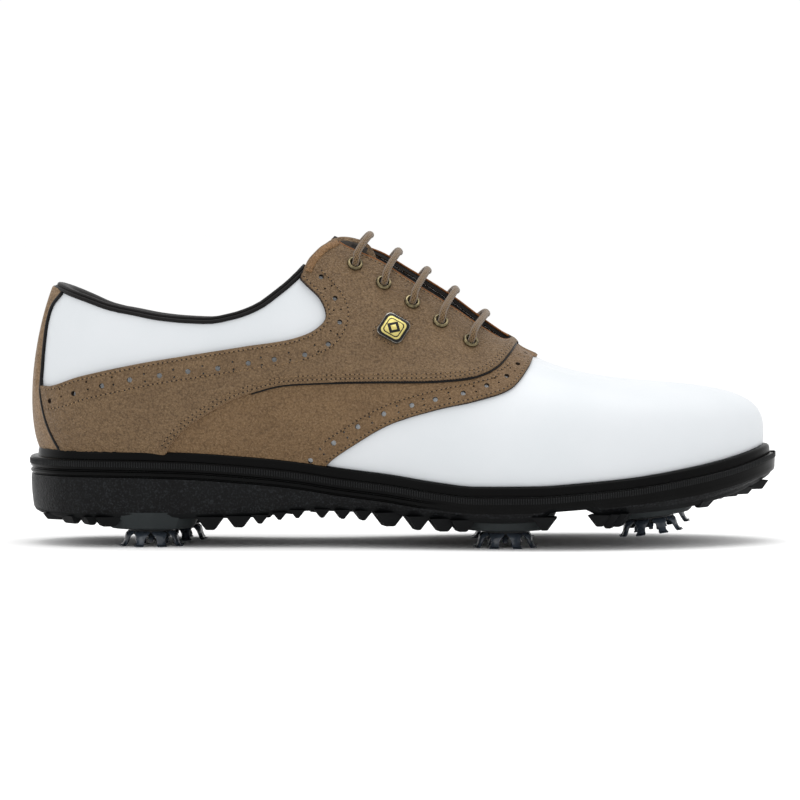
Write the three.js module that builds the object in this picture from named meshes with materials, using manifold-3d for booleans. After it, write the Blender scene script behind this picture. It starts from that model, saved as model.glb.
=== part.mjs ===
// A golf shoe for the right foot, in millimetres: +X to the toe, +Y to the medial side, +Z up.
import * as THREE from 'three';
import { mergeVertices } from 'three/addons/utils/BufferGeometryUtils.js';
import Module from 'manifold-3d';

const wasm = await Module();
wasm.setup();

// ---- Driving dimensions -------------------------------------------------------------------
const GAP = 0.3;                 // clearance between neighbouring pieces
const STATIONS = 32;             // facets round the shoe
const ROWS = 6;                  // facets from the sole up to the top of the shoe
const HEEL_POLE = 38;            // the heel wall turns about this x
const TOE_POLE = 195;            // the toe box turns about this x
const TOE_TIP = 296.8;           // foremost x of the upper
const TOE_RISE = 15;             // how far the vamp climbs from the toe box to the throat

const OUTER = 1.6;               // thickness of the white leather
const LINING = 1.6;              // thickness of the lining
const SADDLE_TOP = 2.2;          // outer face of the upper saddle, from the white leather
const LOWER_TOP = 1.7;           // outer face of the lower saddle
const STRAP_TOP = 1.9;           // outer face of the heel strap
const HEEL_BACKING = 2.4;        // depth of the heel counter and collar foam
const TOE_BACKING = 1.6;         // depth of the toe puff
const TONGUE_OUT = -7.8;         // outer face of the tongue, from the white leather
const TONGUE_IN = -10.2;
const TONGUE_DROP = 36;          // how far its sides hang under the top line of the shoe
const TONGUE_ROOT = 208;         // foremost x of the tongue, where it hinges
const TONGUE_BACK = 118;         // rearmost x of its sheet
const TONGUE_PAD = [13, 6.4, 7]; // half lengths of the padded end, which fills the top of the throat
const TONGUE_PAD_MIDDLE = [132, -0.1, 114.6];
const TONGUE_PAD_LEAN = 33.5;    // slope of the pad, in degrees
const PIPING_RADIUS = 0.9;
const BINDING_RADIUS = 2.3;
const LASTING_DEPTH = 4.6;       // how far the upper runs down inside the sole

const THROAT_SHIFT = -2;         // throat's middle, from the top line of the shoe

// The open slot between the facings, seen from above: x, lateral y, medial y.
const THROAT = [
  [96, -8, 9.5], [125, -9.5, 8.5], [150, -11.3, 7.9], [175, -12.9, 6.8], [186, -13, 6.2], [190.5, -11, 5.2],
  [193, -6, 3.5],
];
const EYELETS = [[131.3, 111.7], [142.7, 104.2], [154.1, 96.5], [165.5, 88.8], [177.4, 80.9]];
const MEDIAL_EYELET_LIFT = 1;
const LACE_RADIUS = 1.25;
const LACE_UNDER = -5.9;           // the lace's middle where it runs under a facing
const LACE_OVER = 5.9;           // and where it bends over an eyelet's flange
const LACE_CREST = 5.6;          // and over the throat, from the top line of the shoe
const LACE_LEAN = 5.6;           // how far each bar leans to the toe at its middle
const EYELET_BORE = 1.8;
const EYELET_BARREL = 2.2;
const EYELET_LIFT = 0.7;         // the eyelet's flange stands this far off the saddle
const EYELET_FLANGE = 3.1;

const CLEAT_HEIGHT = 7;
const CLEAT_LEGS = 8;
const STUD_RADIUS = 5.4;
const STUD_LENGTH = 4.6;
const RECEPTACLE_RADIUS = 9.5;
const RECEPTACLE_DEPTH = 6.2;
const POD_RADIUS = 16.5;
const POD_HEIGHT = 6;
const LEG_WIDTH = 3.4;
const LUG_ROOT = 4.6;
const LUG_TIP = 2.2;
const LUG_HEIGHT = 2.8;
const LUG_INSET = 8;             // lugs' middles, in from the rim of the sole
const RIM_OUT = 4.4;             // rim of the sole, out of the feather edge
const TOE_RIM_OUT = 5.2;
const HEEL_RIM_OUT = 6.2;
const FOOTBED_INSET = 3.9;
const TOE_SPRING = 7;            // degrees that the toe cleats lean back

const BADGE = [147, 86.4];      // side-view place of its middle
const BADGE_SIZE = 11;
const BADGE_SLOPE = -0.67;       // it lies along the row of eyelets

// Each cleat: name, x, y, height of the pod's face, lean in degrees.
const CLEATS = [
  ['heel_lateral', 50, -19.5, CLEAT_HEIGHT, 0],
  ['heel_medial', 58.5, 19, CLEAT_HEIGHT, 0],
  ['ball_lateral', 192, -30, CLEAT_HEIGHT, 0],
  ['ball_medial', 192, 29, CLEAT_HEIGHT, 0],
  ['toe_lateral', 250, -20, 12.1, TOE_SPRING],
  ['toe_medial', 255, 24, 12.6, TOE_SPRING],
];

// ---- Lines of the shoe, each a smooth curve through a few points ---------------------------
// The feather edge, where the upper meets the sole: x, lateral y, medial y.
const FEATHER = [
  [6.5, 0, 0], [8.8, -13, 13], [18, -25.5, 25], [35, -32.5, 32], [65, -33.5, 31],
  [100, -32, 26], [130, -34.5, 27], [160, -41.5, 35], [190, -47.5, 44], [215, -48.5, 46.5],
  [240, -44, 45], [263, -35.5, 40.5], [281, -23, 32.5], [292.5, -9.5, 19.5], [TOE_TIP, 5, 5],
];
const FEATHER_Z = [
  [0, 38.5], [34, 38.4], [63, 37.7], [87, 36], [107, 34], [126, 31.2], [146, 28.8], [165, 25.9],
  [180, 24.4], [204, 24.7], [224, 26.1], [243, 27.9], [262, 30.8], [282, 34.8], [302, 40.6],
];
const SPINE_Z = [
  [38, 127], [80, 130], [106, 131], [117, 128.5], [126, 123.4], [141, 117.4], [151, 110.9],
  [170, 98.3], [180, 90.6], [189.5, 83.8], [195, 80.3],
];
const SPINE_Y = [[38, 0], [100, 1], [150, 3], [195, 3.5]];
const SQUARENESS = [
  [0, 2.9], [38, 2.9], [65, 2.8], [100, 2.4], [130, 2.1], [160, 2], [195, 2.15], [240, 3], [270, 3.7],
  [TOE_TIP, 4.3],
];
const BULGE = [[0, 3.9], [38, 3.2], [65, 3], [100, 2.5], [160, 2.5], [195, 2.2], [240, 1.8], [TOE_TIP, 0.6]];
const COLLAR_Z = [
  [4, 108.5], [10.5, 106], [24.3, 100.5], [34, 96.7], [43.7, 94.7], [53.5, 92.8], [63.2, 91.8],
  [72.9, 91.4], [82.6, 93], [92.3, 96.5], [102.1, 103.8], [111.8, 113.3], [123.5, 121.9], [133, 128],
];
const SOLE_BOTTOM = [
  [0, 16], [8, 12.6], [20, 11.4], [60, 11.4], [90, 12], [115, 14.6], [140, 14], [160, 12], [190, 10.5],
  [215, 12], [240, 14], [262, 16], [280, 20], [292, 24.5], [302, 29.5],
];

// Side-view lines of the panels, x and z.
const QUARTER_EDGE = [
  [0, 66.5], [9.7, 64], [21.5, 68], [33.4, 71], [48.6, 74.1], [68, 77.2], [87.5, 80.2], [106.9, 83.2],
  [115, 87], [118.7, 91.6], [116.6, 98.4], [111.8, 103.7],
];
const UPPER_SADDLE_EDGE = [
  [53.9, 33], [58.3, 41.7], [63.2, 47], [72.9, 53.9], [82.6, 59.1], [92.3, 62.4], [102.1, 64.8],
  [113.8, 65.6], [140, 66.1], [165, 66.1], [180, 67.6], [188, 71], [193, 76], [197, 84], [200, 100],
];
const LOWER_SADDLE_EDGE = [
  [117, 28], [121.5, 34], [131.2, 40.9], [145.8, 49.4], [165.2, 55.5], [180, 58.7], [194.4, 63.6], [201, 71],
  [204.5, 77], [206, 90],
];
const PIPING_EDGE = [
  [13.9, 101.4], [9.8, 96.2], [7.7, 89.5], [6.7, 81.8], [5.9, 71.4], [5.4, 61.6], [7.7, 50.2], [10.3, 44],
  [13.4, 38.6],
];

// ---- Small helpers ---------------------------------------------------------------------------
const clamp = (value, low, high) => Math.min(Math.max(value, low), high);

function smooth(from, to, value) {
  const t = clamp((value - from) / (to - from), 0, 1);
  return t * t * (3 - 2 * t);
}

// Height of a curve that passes through points [x, height], with no overshoot between them.
function along(points, x) {
  const last = points.length - 1;
  if (x <= points[0][0]) return points[0][1];
  if (x >= points[last][0]) return points[last][1];
  const i = points.findIndex((point) => point[0] > x) - 1;
  const slope = (j) => (points[j + 1][1] - points[j][1]) / (points[j + 1][0] - points[j][0]);
  const tangent = (j) => {
    if (j === 0) return slope(0);
    if (j === last) return slope(last - 1);
    const [a, b] = [slope(j - 1), slope(j)];
    return a * b <= 0 ? 0 : (2 * a * b) / (a + b);
  };
  const width = points[i + 1][0] - points[i][0];
  const t = (x - points[i][0]) / width;
  const [m0, m1] = [tangent(i) * width, tangent(i + 1) * width];
  const [y0, y1] = [points[i][1], points[i + 1][1]];
  return y0 + t * (m0 + t * (3 * (y1 - y0) - 2 * m0 - m1 + t * (2 * (y0 - y1) + m0 + m1)));
}

function bisect(low, high, isBelow) {
  let [a, b] = [low, high];
  for (let step = 0; step < 40; step += 1) {
    const middle = (a + b) / 2;
    if (isBelow(middle)) a = middle;
    else b = middle;
  }
  return (a + b) / 2;
}

// ---- The shape of the upper ---------------------------------------------------------------
// A place on it is (u, v): u runs once round the feather edge, from the middle of the heel (0) along
// the lateral side to the toe (0.5) and back; v runs from the feather edge (0) to the top line (1).
const featherLoop = (() => {
  const lateral = FEATHER.map(([x, y]) => new THREE.Vector3(x, y, 0));
  const medial = FEATHER.slice(1, -1).reverse().map(([x, , y]) => new THREE.Vector3(x, y, 0));
  return new THREE.CatmullRomCurve3([...lateral, ...medial], true, 'catmullrom', 0.5);
})();

// A point of the feather edge moved straight out of it by a distance, with the height of the edge.
function feather(u, out = 0) {
  const t = ((u % 1) + 1) % 1;
  const point = featherLoop.getPoint(t);
  const tangent = featherLoop.getTangent(t);
  const z = along(FEATHER_Z, point.x);
  return new THREE.Vector3(point.x + tangent.y * out, point.y - tangent.x * out, z);
}

function upper(u, v) {
  const foot = feather(u);
  const spineX = clamp(foot.x, HEEL_POLE, TOE_POLE);
  const spine = new THREE.Vector3(spineX, along(SPINE_Y, spineX), along(SPINE_Z, spineX));
  const n = along(SQUARENESS, foot.x);
  const angle = (v * Math.PI) / 2;
  const [c, s] = [Math.cos(angle), Math.sin(angle)];
  const reach = (c ** n + s ** n) ** (-1 / n);
  const outward = reach * c;
  const height = reach * s;
  const toward = clamp((foot.x - TOE_POLE) / (TOE_TIP - TOE_POLE), 0, 1);
  const rise = TOE_RISE * toward * (2 - toward);
  const bulge = along(BULGE, foot.x) * Math.sin(Math.PI * Math.min(1, height / 0.78) ** 0.62);
  const side = new THREE.Vector3(foot.x - spine.x, foot.y - spine.y, 0);
  const width = side.length();
  side.multiplyScalar((width * outward + bulge) / width);
  const z = foot.z + (spine.z - foot.z - rise) * height + rise * (1 - outward) ** 4.4;
  return new THREE.Vector3(spine.x + side.x, spine.y + side.y, z);
}

function upperNormal(u, v) {
  if (v > 0.985) return new THREE.Vector3(0, 0, 1);
  const across = upper(u + 0.002, v).sub(upper(u - 0.002, v));
  const low = Math.max(v - 0.01, 0);
  const up = upper(u, low + 0.02).sub(upper(u, low));
  return across.cross(up).normalize();
}

const onUpper = (u, v, out = 0) => upper(u, v).addScaledVector(upperNormal(u, v), out);

// The place on one side of the upper that the side view shows at x and z.
function placeAt(side, x, z) {
  const turn = (t) => (side === 'lateral' ? t : 1 - t);
  const rowAt = (t) => bisect(0, 0.995, (v) => upper(turn(t), v).z < z);
  const t = bisect(0.0005, 0.4995, (middle) => upper(turn(middle), rowAt(middle)).x < x);
  return [turn(t), rowAt(t)];
}

// How deep the stiffeners and foam lie between the leather and the lining.
function backing(x) {
  return HEEL_BACKING * (1 - smooth(80, 108, x)) + TOE_BACKING * smooth(244, 256, x);
}

// ---- Solids ----------------------------------------------------------------------------------
function solidOf(geometry) {
  const bare = geometry.clone();
  bare.deleteAttribute('normal');
  bare.deleteAttribute('uv');
  const welded = mergeVertices(bare, 1e-4);
  return new wasm.Manifold(new wasm.Mesh({
    numProp: 3,
    vertProperties: new Float32Array(welded.attributes.position.array),
    triVerts: new Uint32Array(welded.index.array),
  }));
}

function geometryOf(solid) {
  const mesh = solid.getMesh();
  const geometry = new THREE.BufferGeometry();
  geometry.setAttribute('position', new THREE.BufferAttribute(new Float32Array(mesh.vertProperties), 3));
  geometry.setIndex(new THREE.BufferAttribute(new Uint32Array(mesh.triVerts), 1));
  return geometry.toNonIndexed();
}

// A closed solid from rings of points, one ring above the other, capped across the shoe.
// Ring point k and ring point STATIONS - k face each other over the middle of the shoe.
function ringsSolid(rings, closedTop) {
  const positions = rings.flat().flatMap((point) => [point.x, point.y, point.z]);
  const index = [];
  const triangle = (...corners) => {
    if (new Set(corners).size === 3) index.push(...corners);
  };
  for (let row = 0; row + 1 < rings.length; row += 1) {
    for (let k = 0; k < STATIONS; k += 1) {
      const [a, b] = [row * STATIONS + k, row * STATIONS + ((k + 1) % STATIONS)];
      triangle(a, b, b + STATIONS);
      triangle(a, b + STATIONS, a + STATIONS);
    }
  }
  const cap = (start, flip) => {
    for (let k = 0; k < STATIONS / 2; k += 1) {
      const [a, b] = [start + k, start + k + 1];
      const [c, d] = [start + ((STATIONS - k) % STATIONS), start + STATIONS - k - 1];
      const quads = [[a, c, b], [c, d, b]];
      quads.forEach(([p, q, r]) => (flip ? triangle(p, r, q) : triangle(p, q, r)));
    }
  };
  cap(0, false);
  if (!closedTop) cap((rings.length - 1) * STATIONS, true);
  const geometry = new THREE.BufferGeometry();
  geometry.setAttribute('position', new THREE.Float32BufferAttribute(positions, 3));
  geometry.setIndex(index);
  return solidOf(geometry);
}

const ring = (makePoint) => Array.from({ length: STATIONS }, (_, k) => makePoint(k / STATIONS));

// Everything inside the upper, out to a distance from it that may change along the shoe.
function insideUpper(out, depth) {
  const distance = typeof out === 'function' ? out : () => out;
  const rings = [ring((u) => {
    const point = onUpper(u, 0, distance(feather(u).x));
    point.z = feather(u).z - depth;
    return point;
  })];
  for (let row = 0; row <= ROWS; row += 1) {
    const v = row / ROWS;
    rings.push(ring((u) => onUpper(u, v, distance(feather(u).x))));
  }
  return ringsSolid(rings, true);
}

const shell = (outer, inner, depth = 0) => insideUpper(outer, depth).subtract(insideUpper(inner, depth + 12));

// A block over an outline of the side view (x, z), from one y to another.
function sideBlock(outline, yFrom, yTo) {
  const shape = new THREE.Shape(outline.map(([x, z]) => new THREE.Vector2(x, z)));
  const geometry = new THREE.ExtrudeGeometry(shape, { depth: yTo - yFrom, bevelEnabled: false });
  geometry.rotateX(Math.PI / 2);
  geometry.translate(0, yTo, 0);
  return solidOf(geometry);
}

// A block over an outline of the plan (x, y), from one height to another.
function planBlock(outline, low, high) {
  const shape = new THREE.Shape(outline.map(([x, y]) => new THREE.Vector2(x, y)));
  const geometry = new THREE.ExtrudeGeometry(shape, { depth: high - low, bevelEnabled: false });
  geometry.translate(0, 0, low);
  return solidOf(geometry);
}

// Points of a smooth line through a few points, moved to its left by a distance.
function lineThrough(points, count, aside = 0) {
  const corners = points.map(([x, z]) => new THREE.Vector3(x, z, 0));
  const curve = new THREE.CatmullRomCurve3(corners, false, 'centripetal');
  return Array.from({ length: count + 1 }, (_, i) => {
    const point = curve.getPoint(i / count);
    const tangent = curve.getTangent(i / count);
    return [point.x - tangent.y * aside, point.y + tangent.x * aside];
  });
}

function spread(from, to, count) {
  return Array.from({ length: count + 1 }, (_, i) => from + ((to - from) * i) / count);
}
const FAR = 70;                                    // beyond the widest point of the shoe
const sideRange = (side, middle) => (side === 'lateral' ? [-FAR, -middle] : [middle, FAR]);

// Height of a line that runs square under the top of the collar by a distance.
function collarLine(x, drop) {
  const slope = (along(COLLAR_Z, x + 1) - along(COLLAR_Z, x - 1)) / 2;
  return along(COLLAR_Z, x) - drop * Math.hypot(1, slope);
}

// Outline of everything below the collar line, down to a height.
function belowCollar(drop, from, to, bottom) {
  const top = spread(from, to, 24).map((x) => [x, collarLine(x, drop)]);
  return [[to, bottom], ...top.reverse(), [from, bottom]];
}

const aboveSole = (lift, from, to) => spread(from, to, 24).map((x) => [x, along(FEATHER_Z, x) + lift]);

// ---- Cut lines shared by the layers -------------------------------------------------------
const COLLAR_DROP = 5.1;         // the layers stop this far under the top of the collar binding
// The quarters meet the vamp along this side-view line, hidden under the saddle.
const BACK_SEAM = [[108, 0], [112, 32], [128, 47], [150, 60], [150, 150]];
const SEAM_GAP = 0.5;
const FOAM_DROP = 1.6;           // the collar foam stops this far under the layers

function eyeletPlaces(side) {
  const lift = side === 'lateral' ? 0 : MEDIAL_EYELET_LIFT;
  return EYELETS.map(([x, z]) => placeAt(side, x, z + lift));
}

// A cylinder along the upper's outward direction at a place, between two distances from it.
function peg(place, radius, from, to, segments = 10) {
  const geometry = new THREE.CylinderGeometry(radius, radius, to - from, segments);
  geometry.applyQuaternion(new THREE.Quaternion().setFromUnitVectors(
    new THREE.Vector3(0, 1, 0),
    upperNormal(...place),
  ));
  const middle = onUpper(...place, (from + to) / 2);
  geometry.translate(middle.x, middle.y, middle.z);
  return solidOf(geometry);
}

const pierced = (solid, side) => eyeletPlaces(side).reduce(
  (left, place) => left.subtract(peg(place, EYELET_BARREL + GAP, -12, 12, 8)),
  solid,
);

// ---- The layers of the upper --------------------------------------------------------------
const whiteLayer = shell(0, -OUTER, LASTING_DEPTH);
const throatEdge = (column) => THROAT.map((row) => [row[0], row[column]]);
const throat = planBlock([...throatEdge(1), ...throatEdge(2).reverse()], 60, 150);

function vamp() {
  const region = sideBlock([...BACK_SEAM, [320, 150], [320, 0]].reverse(), -FAR, FAR);
  return pierced(pierced(whiteLayer.intersect(region).subtract(throat), 'lateral'), 'medial');
}

function quarter(side) {
  const behind = BACK_SEAM.map(([x, z]) => [x - SEAM_GAP, z]);
  const region = sideBlock(belowCollar(COLLAR_DROP, -5, 160, 0), ...sideRange(side, GAP / 2))
    .intersect(sideBlock([...behind, [-5, 150], [-5, 0]], -FAR, FAR));
  return pierced(whiteLayer.intersect(region).subtract(throat), side);
}

function lining() {
  const outer = (x) => -OUTER - GAP - backing(x);
  const layer = shell(outer, (x) => outer(x) - LINING, LASTING_DEPTH);
  const region = sideBlock(belowCollar(COLLAR_DROP, -5, 135, 0).concat([[-5, 0]]), -FAR, FAR)
    .add(sideBlock([[134, 0], [320, 0], [320, 150], [134, 150]], -FAR, FAR));
  return pierced(pierced(layer.intersect(region).subtract(throat), 'lateral'), 'medial');
}

// The space between leather and lining, where a stiffener or foam sits.
const stiffener = (region) => shell(
  -OUTER - GAP,
  (x) => -OUTER - backing(x),
  LASTING_DEPTH,
).intersect(region);

const heelCounter = () => stiffener(sideBlock([[-5, 0], [76, 0], [70, 60], [40, 70], [-5, 72]], -FAR, FAR));
const toePuff = () => stiffener(sideBlock([[258, 0], [320, 0], [320, 90], [258, 90]], -FAR, FAR));

function collarFoam() {
  const bottom = [[-5, 73.5], [40, 71.5], [70, 61.5], [84, 70]];
  const top = spread(-5, 92, 20).map((x) => [x, collarLine(x, COLLAR_DROP + FOAM_DROP)]).reverse();
  return stiffener(sideBlock([...bottom, ...top], -FAR, FAR));
}

function upperSaddle(side) {
  const back = lineThrough(PIPING_EDGE, 12, 1.6);
  const low = aboveSole(0.4, back[12][0], 54);
  const front = lineThrough(UPPER_SADDLE_EDGE, 24, 0.25).filter(([x, z]) => z > along(FEATHER_Z, x) + 0.8);
  const top = lineThrough(QUARTER_EDGE, 20).filter(([x, z]) => x > 13 || z > 90);
  const collar = spread(113, 136, 6).map((x) => [x, collarLine(x, 0.6)]);
  const overlap = back.filter(([, z]) => z < 63.5);
  const outline = [
    ...overlap, ...low.slice(1), ...front, [200, 140], [137, 140], ...collar.reverse(), ...top.reverse(),
  ];
  const region = sideBlock(outline, ...sideRange(side, -20)).subtract(throat);
  const half = sideBlock([[-5, 0], [320, 0], [320, 150], [-5, 150]], ...sideRange(side, GAP / 2));
  return pierced(shell(SADDLE_TOP, GAP).intersect(half).intersect(region), side);
}

function lowerSaddle(side) {
  const back = lineThrough(UPPER_SADDLE_EDGE, 24, -0.25).filter(([x, z]) => z > along(FEATHER_Z, x) + 0.8);
  const front = lineThrough(LOWER_SADDLE_EDGE, 20).filter(([x, z]) => z > along(FEATHER_Z, x) + 0.8);
  const low = aboveSole(0.4, back[0][0], front[0][0]);
  const outline = [...low, ...front, [206, 140], [200.4, 140], ...back.reverse()];
  const region = sideBlock(outline, ...sideRange(side, -20)).subtract(throat);
  return shell(LOWER_TOP, GAP).intersect(region)
    .intersect(planBlock(splitOutline(side), 0, 150));
}

// Everything on one side of the shoe's top line, seen from above.
function splitOutline(side) {
  const sign = side === 'lateral' ? -1 : 1;
  const middle = spread(90, 215, 10).map((x) => [x, along(SPINE_Y, x) + THROAT_SHIFT + sign * GAP / 2]);
  const outline = [...middle, [215, sign * FAR], [-5, sign * FAR], [-5, sign * GAP / 2]];
  return side === 'lateral' ? outline.reverse() : outline;
}

function heelStrap() {
  const front = lineThrough(PIPING_EDGE, 12, -2.05);
  const low = aboveSole(0.4, -5, front[12][0]);
  const top = spread(-5, front[1][0], 6).map((x) => [x, collarLine(x, COLLAR_DROP)]);
  const outline = [...low, ...front.slice(1, -1).reverse(), ...top.reverse()];
  return shell(STRAP_TOP, GAP).intersect(sideBlock(outline, -FAR, FAR));
}

// ---- Rolls and cords ----------------------------------------------------------------------
// A rod along a smooth line; one ring of it stands at each of the line's points.
function tube(points, radius, sides) {
  const path = new THREE.CatmullRomCurve3(points, false, 'centripetal');
  path.getPointAt = (t, target) => path.getPoint(t, target);
  path.getTangentAt = (t, target) => path.getTangent(t, target);
  const section = new THREE.Shape(Array.from({ length: sides }, (_, i) => {
    const angle = ((i + 0.5) / sides) * 2 * Math.PI;
    return new THREE.Vector2(Math.cos(angle) * radius, Math.sin(angle) * radius);
  }));
  const steps = points.length - 1;
  return new THREE.ExtrudeGeometry(section, { steps, extrudePath: path, bevelEnabled: false });
}

function piping(side) {
  const points = lineThrough(PIPING_EDGE, 12).slice(0, -1).map(([x, z]) => {
    const place = placeAt(side, x, Math.min(z, collarLine(x, COLLAR_DROP + 0.6)));
    return onUpper(...place, GAP + PIPING_RADIUS + 0.15);
  });
  return tube(points, PIPING_RADIUS, 6);
}

// The rolled binding stands on the cut edge of the collar, from one facing round to the other.
function collarBinding() {
  const crest = (u) => {
    const v = bisect(0.2, 0.98, (row) => {
      const point = upper(u, row);
      return point.z < collarLine(point.x, BINDING_RADIUS - 0.3);
    });
    return onUpper(u, v, -(OUTER + LINING + GAP + backing(feather(u).x)) / 2);
  };
  const end = bisect(0.05, 0.4, (u) => crest(u).x < 111);
  const points = spread(-end, end, 36).map(crest);
  return tube(points, BINDING_RADIUS, 8);
}

// ---- Tongue ------------------------------------------------------------------------------------
function tonguePad() {
  const geometry = new THREE.SphereGeometry(1, 18, 12);
  geometry.scale(...TONGUE_PAD);
  geometry.rotateY(THREE.MathUtils.degToRad(TONGUE_PAD_LEAN));
  geometry.translate(...TONGUE_PAD_MIDDLE);
  return solidOf(geometry);
}

function tongue() {
  const sides = spread(TONGUE_BACK, TONGUE_ROOT, 10);
  const half = (x) => 21 + 7 * smooth(110, 150, x) - 3 * smooth(180, TONGUE_ROOT, x);
  const edge = (sign) => sides.map((x) => [x, along(SPINE_Y, x) + THROAT_SHIFT / 2 + sign * half(x)]);
  const low = spread(95, 215, 8).map((x) => [x, along(SPINE_Z, x) - TONGUE_DROP]);
  return shell(TONGUE_OUT, TONGUE_IN)
    .intersect(planBlock([...edge(-1), ...edge(1).reverse()], 20, 150))
    .intersect(sideBlock([...low, [215, 150], [95, 150]], -FAR, FAR))
    .add(tonguePad());
}

// ---- Inside the sole ---------------------------------------------------------------------------
const insetOutline = (inset) => (u) => feather(u, -inset - backing(feather(u).x));

// A layer of the sole between two heights above the feather edge.
function soleLayer(inset, low, high) {
  const place = insetOutline(inset);
  const bottom = ring((u) => place(u).setZ(low(place(u).x)));
  const top = ring((u) => place(u).setZ(high(place(u).x)));
  return ringsSolid([bottom, top], false);
}

const featherPlus = (lift) => (x) => along(FEATHER_Z, x) + lift;
const cupFloor = (x) => Math.min(along(SOLE_BOTTOM, x) + 9.5, along(FEATHER_Z, x) - 7.2);

const footbed = () => soleLayer(FOOTBED_INSET, featherPlus(-3.2), featherPlus(1));
const insoleBoard = () => soleLayer(FOOTBED_INSET, featherPlus(-4.6), featherPlus(-3.5));

function shankOutline(extra) {
  const [back, front] = [68 - extra, 170 + extra];
  return [[back, -7 - extra], [front, -8 - extra], [front, 6 + extra], [back, 7 + extra]];
}

function midsole() {
  const outline = (u) => feather(u, -0.1);
  const bottom = ring((u) => outline(u).setZ(cupFloor(outline(u).x) + GAP));
  const top = ring((u) => outline(u).setZ(along(FEATHER_Z, outline(u).x) - LASTING_DEPTH - GAP));
  const recess = soleLayer(0, featherPlus(-7), featherPlus(0))
    .intersect(planBlock(shankOutline(GAP), 0, 60));
  return ringsSolid([bottom, top], false).subtract(recess);
}

const shankLayer = () => soleLayer(0, featherPlus(-6.6), featherPlus(-5));
const shank = () => shankLayer().intersect(planBlock(shankOutline(0), 0, 60));

// ---- Outsole ---------------------------------------------------------------------------------
// Rows of its wall, from the tread up over the rim and down inside the cup: distance out of the
// feather edge, and height, as functions of x.
function rim(x) {
  const toe = (TOE_RIM_OUT - RIM_OUT) * smooth(120, 200, x);
  return RIM_OUT + toe + (HEEL_RIM_OUT - RIM_OUT) * (1 - smooth(6, 34, x));
}
const OUTSOLE_ROWS = [
  [(x) => rim(x) - 3, (x) => along(SOLE_BOTTOM, x)],
  [(x) => rim(x) - 1.2, (x) => along(SOLE_BOTTOM, x) + 2.4],
  [(x) => rim(x) - 0.9, featherPlus(-7.4)],
  [rim, featherPlus(-6.4)],
  [rim, featherPlus(-3.8)],
  [(x) => rim(x) - 0.4, featherPlus(-3)],
  [() => 1.7, featherPlus(-2.6)],
  [() => 1.5, featherPlus(0)],
  [() => GAP, featherPlus(0)],
  [() => GAP, cupFloor],
];

function outsoleBody() {
  const rings = OUTSOLE_ROWS.map(([out, height]) => ring((u) => {
    const x = feather(u).x;
    return feather(u, out(x)).setZ(height(feather(u, out(x)).x));
  }));
  return ringsSolid(rings, false);
}

function frustum(top, bottom, height, segments) {
  const geometry = new THREE.CylinderGeometry(top, bottom, height, segments);
  return geometry.rotateX(Math.PI / 2);
}

// Turns a solid made about the upright axis of a cleat into its place under the sole.
function seat(geometry, [, x, y, z, lean]) {
  return geometry.clone().rotateY(THREE.MathUtils.degToRad(-lean)).translate(x, y, z);
}

function pod(cleat) {
  const geometry = frustum(POD_RADIUS + 3, POD_RADIUS, POD_HEIGHT, 16).translate(0, 0, POD_HEIGHT / 2);
  return solidOf(seat(geometry, cleat));
}

function receptacleHole(cleat) {
  const depth = RECEPTACLE_DEPTH + GAP;
  const geometry = frustum(RECEPTACLE_RADIUS + GAP, RECEPTACLE_RADIUS + GAP, depth + 2, 10);
  return solidOf(seat(geometry.translate(0, 0, (depth - 2) / 2), cleat));
}

// Small three-sided lugs along both edges of the tread.
function lugs() {
  const places = [...spread(0.04, 0.12, 2), ...spread(0.16, 0.34, 5), ...spread(0.37, 0.48, 3)];
  return places.flatMap((u) => [u, 1 - u]).map((u) => {
    const { x } = feather(u);
    const centre = feather(u, rim(x) - LUG_INSET);
    const root = along(SOLE_BOTTOM, centre.x) + 2;
    const geometry = frustum(LUG_ROOT, LUG_TIP, LUG_HEIGHT + 2, 3);
    geometry.rotateZ(u < 0.5 ? 0 : Math.PI);
    return solidOf(geometry.translate(centre.x, centre.y, root - (LUG_HEIGHT + 2) / 2));
  });
}

function outsole() {
  const body = CLEATS.map(pod).concat(lugs()).reduce((left, piece) => left.add(piece), outsoleBody());
  return CLEATS.map(receptacleHole).reduce((left, hole) => left.subtract(hole), body);
}

// ---- Cleats ------------------------------------------------------------------------------------
const lathe = (profile, segments) => {
  const points = profile.map(([r, z]) => new THREE.Vector2(r, z));
  return new THREE.LatheGeometry(points, segments).rotateX(Math.PI / 2);
};

function receptacle(cleat) {
  const bore = STUD_RADIUS + GAP;
  const profile = [
    [0, STUD_LENGTH + 0.4], [bore, STUD_LENGTH + 0.4], [bore, 0.1], [RECEPTACLE_RADIUS, 0.1],
    [RECEPTACLE_RADIUS, RECEPTACLE_DEPTH], [0, RECEPTACLE_DEPTH],
  ];
  return solidOf(seat(lathe(profile, 10), cleat));
}

// A cleat hangs from z = 0: a domed disc with flared legs below, and a stud above.
function cleatShape() {
  const profile = [
    [0, -3.4], [8.4, -2.4], [9.4, -0.35], [STUD_RADIUS, -0.35], [STUD_RADIUS, STUD_LENGTH],
    [0, STUD_LENGTH],
  ];
  const disc = solidOf(lathe(profile, 10));
  const legSide = [[7, -1.2], [10.2, -7], [13, -7], [9.2, -0.8]];
  const leg = new THREE.Shape(legSide.map(([r, z]) => new THREE.Vector2(r, z)));
  const legs = Array.from({ length: CLEAT_LEGS }, (_, i) => {
    const blade = new THREE.ExtrudeGeometry(leg, { depth: LEG_WIDTH, bevelEnabled: false });
    blade.translate(0, 0, -LEG_WIDTH / 2).rotateX(Math.PI / 2);
    return solidOf(blade.rotateZ(((i + 0.5) * 2 * Math.PI) / CLEAT_LEGS));
  });
  return legs.reduce((left, piece) => left.add(piece), disc);
}

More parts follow.
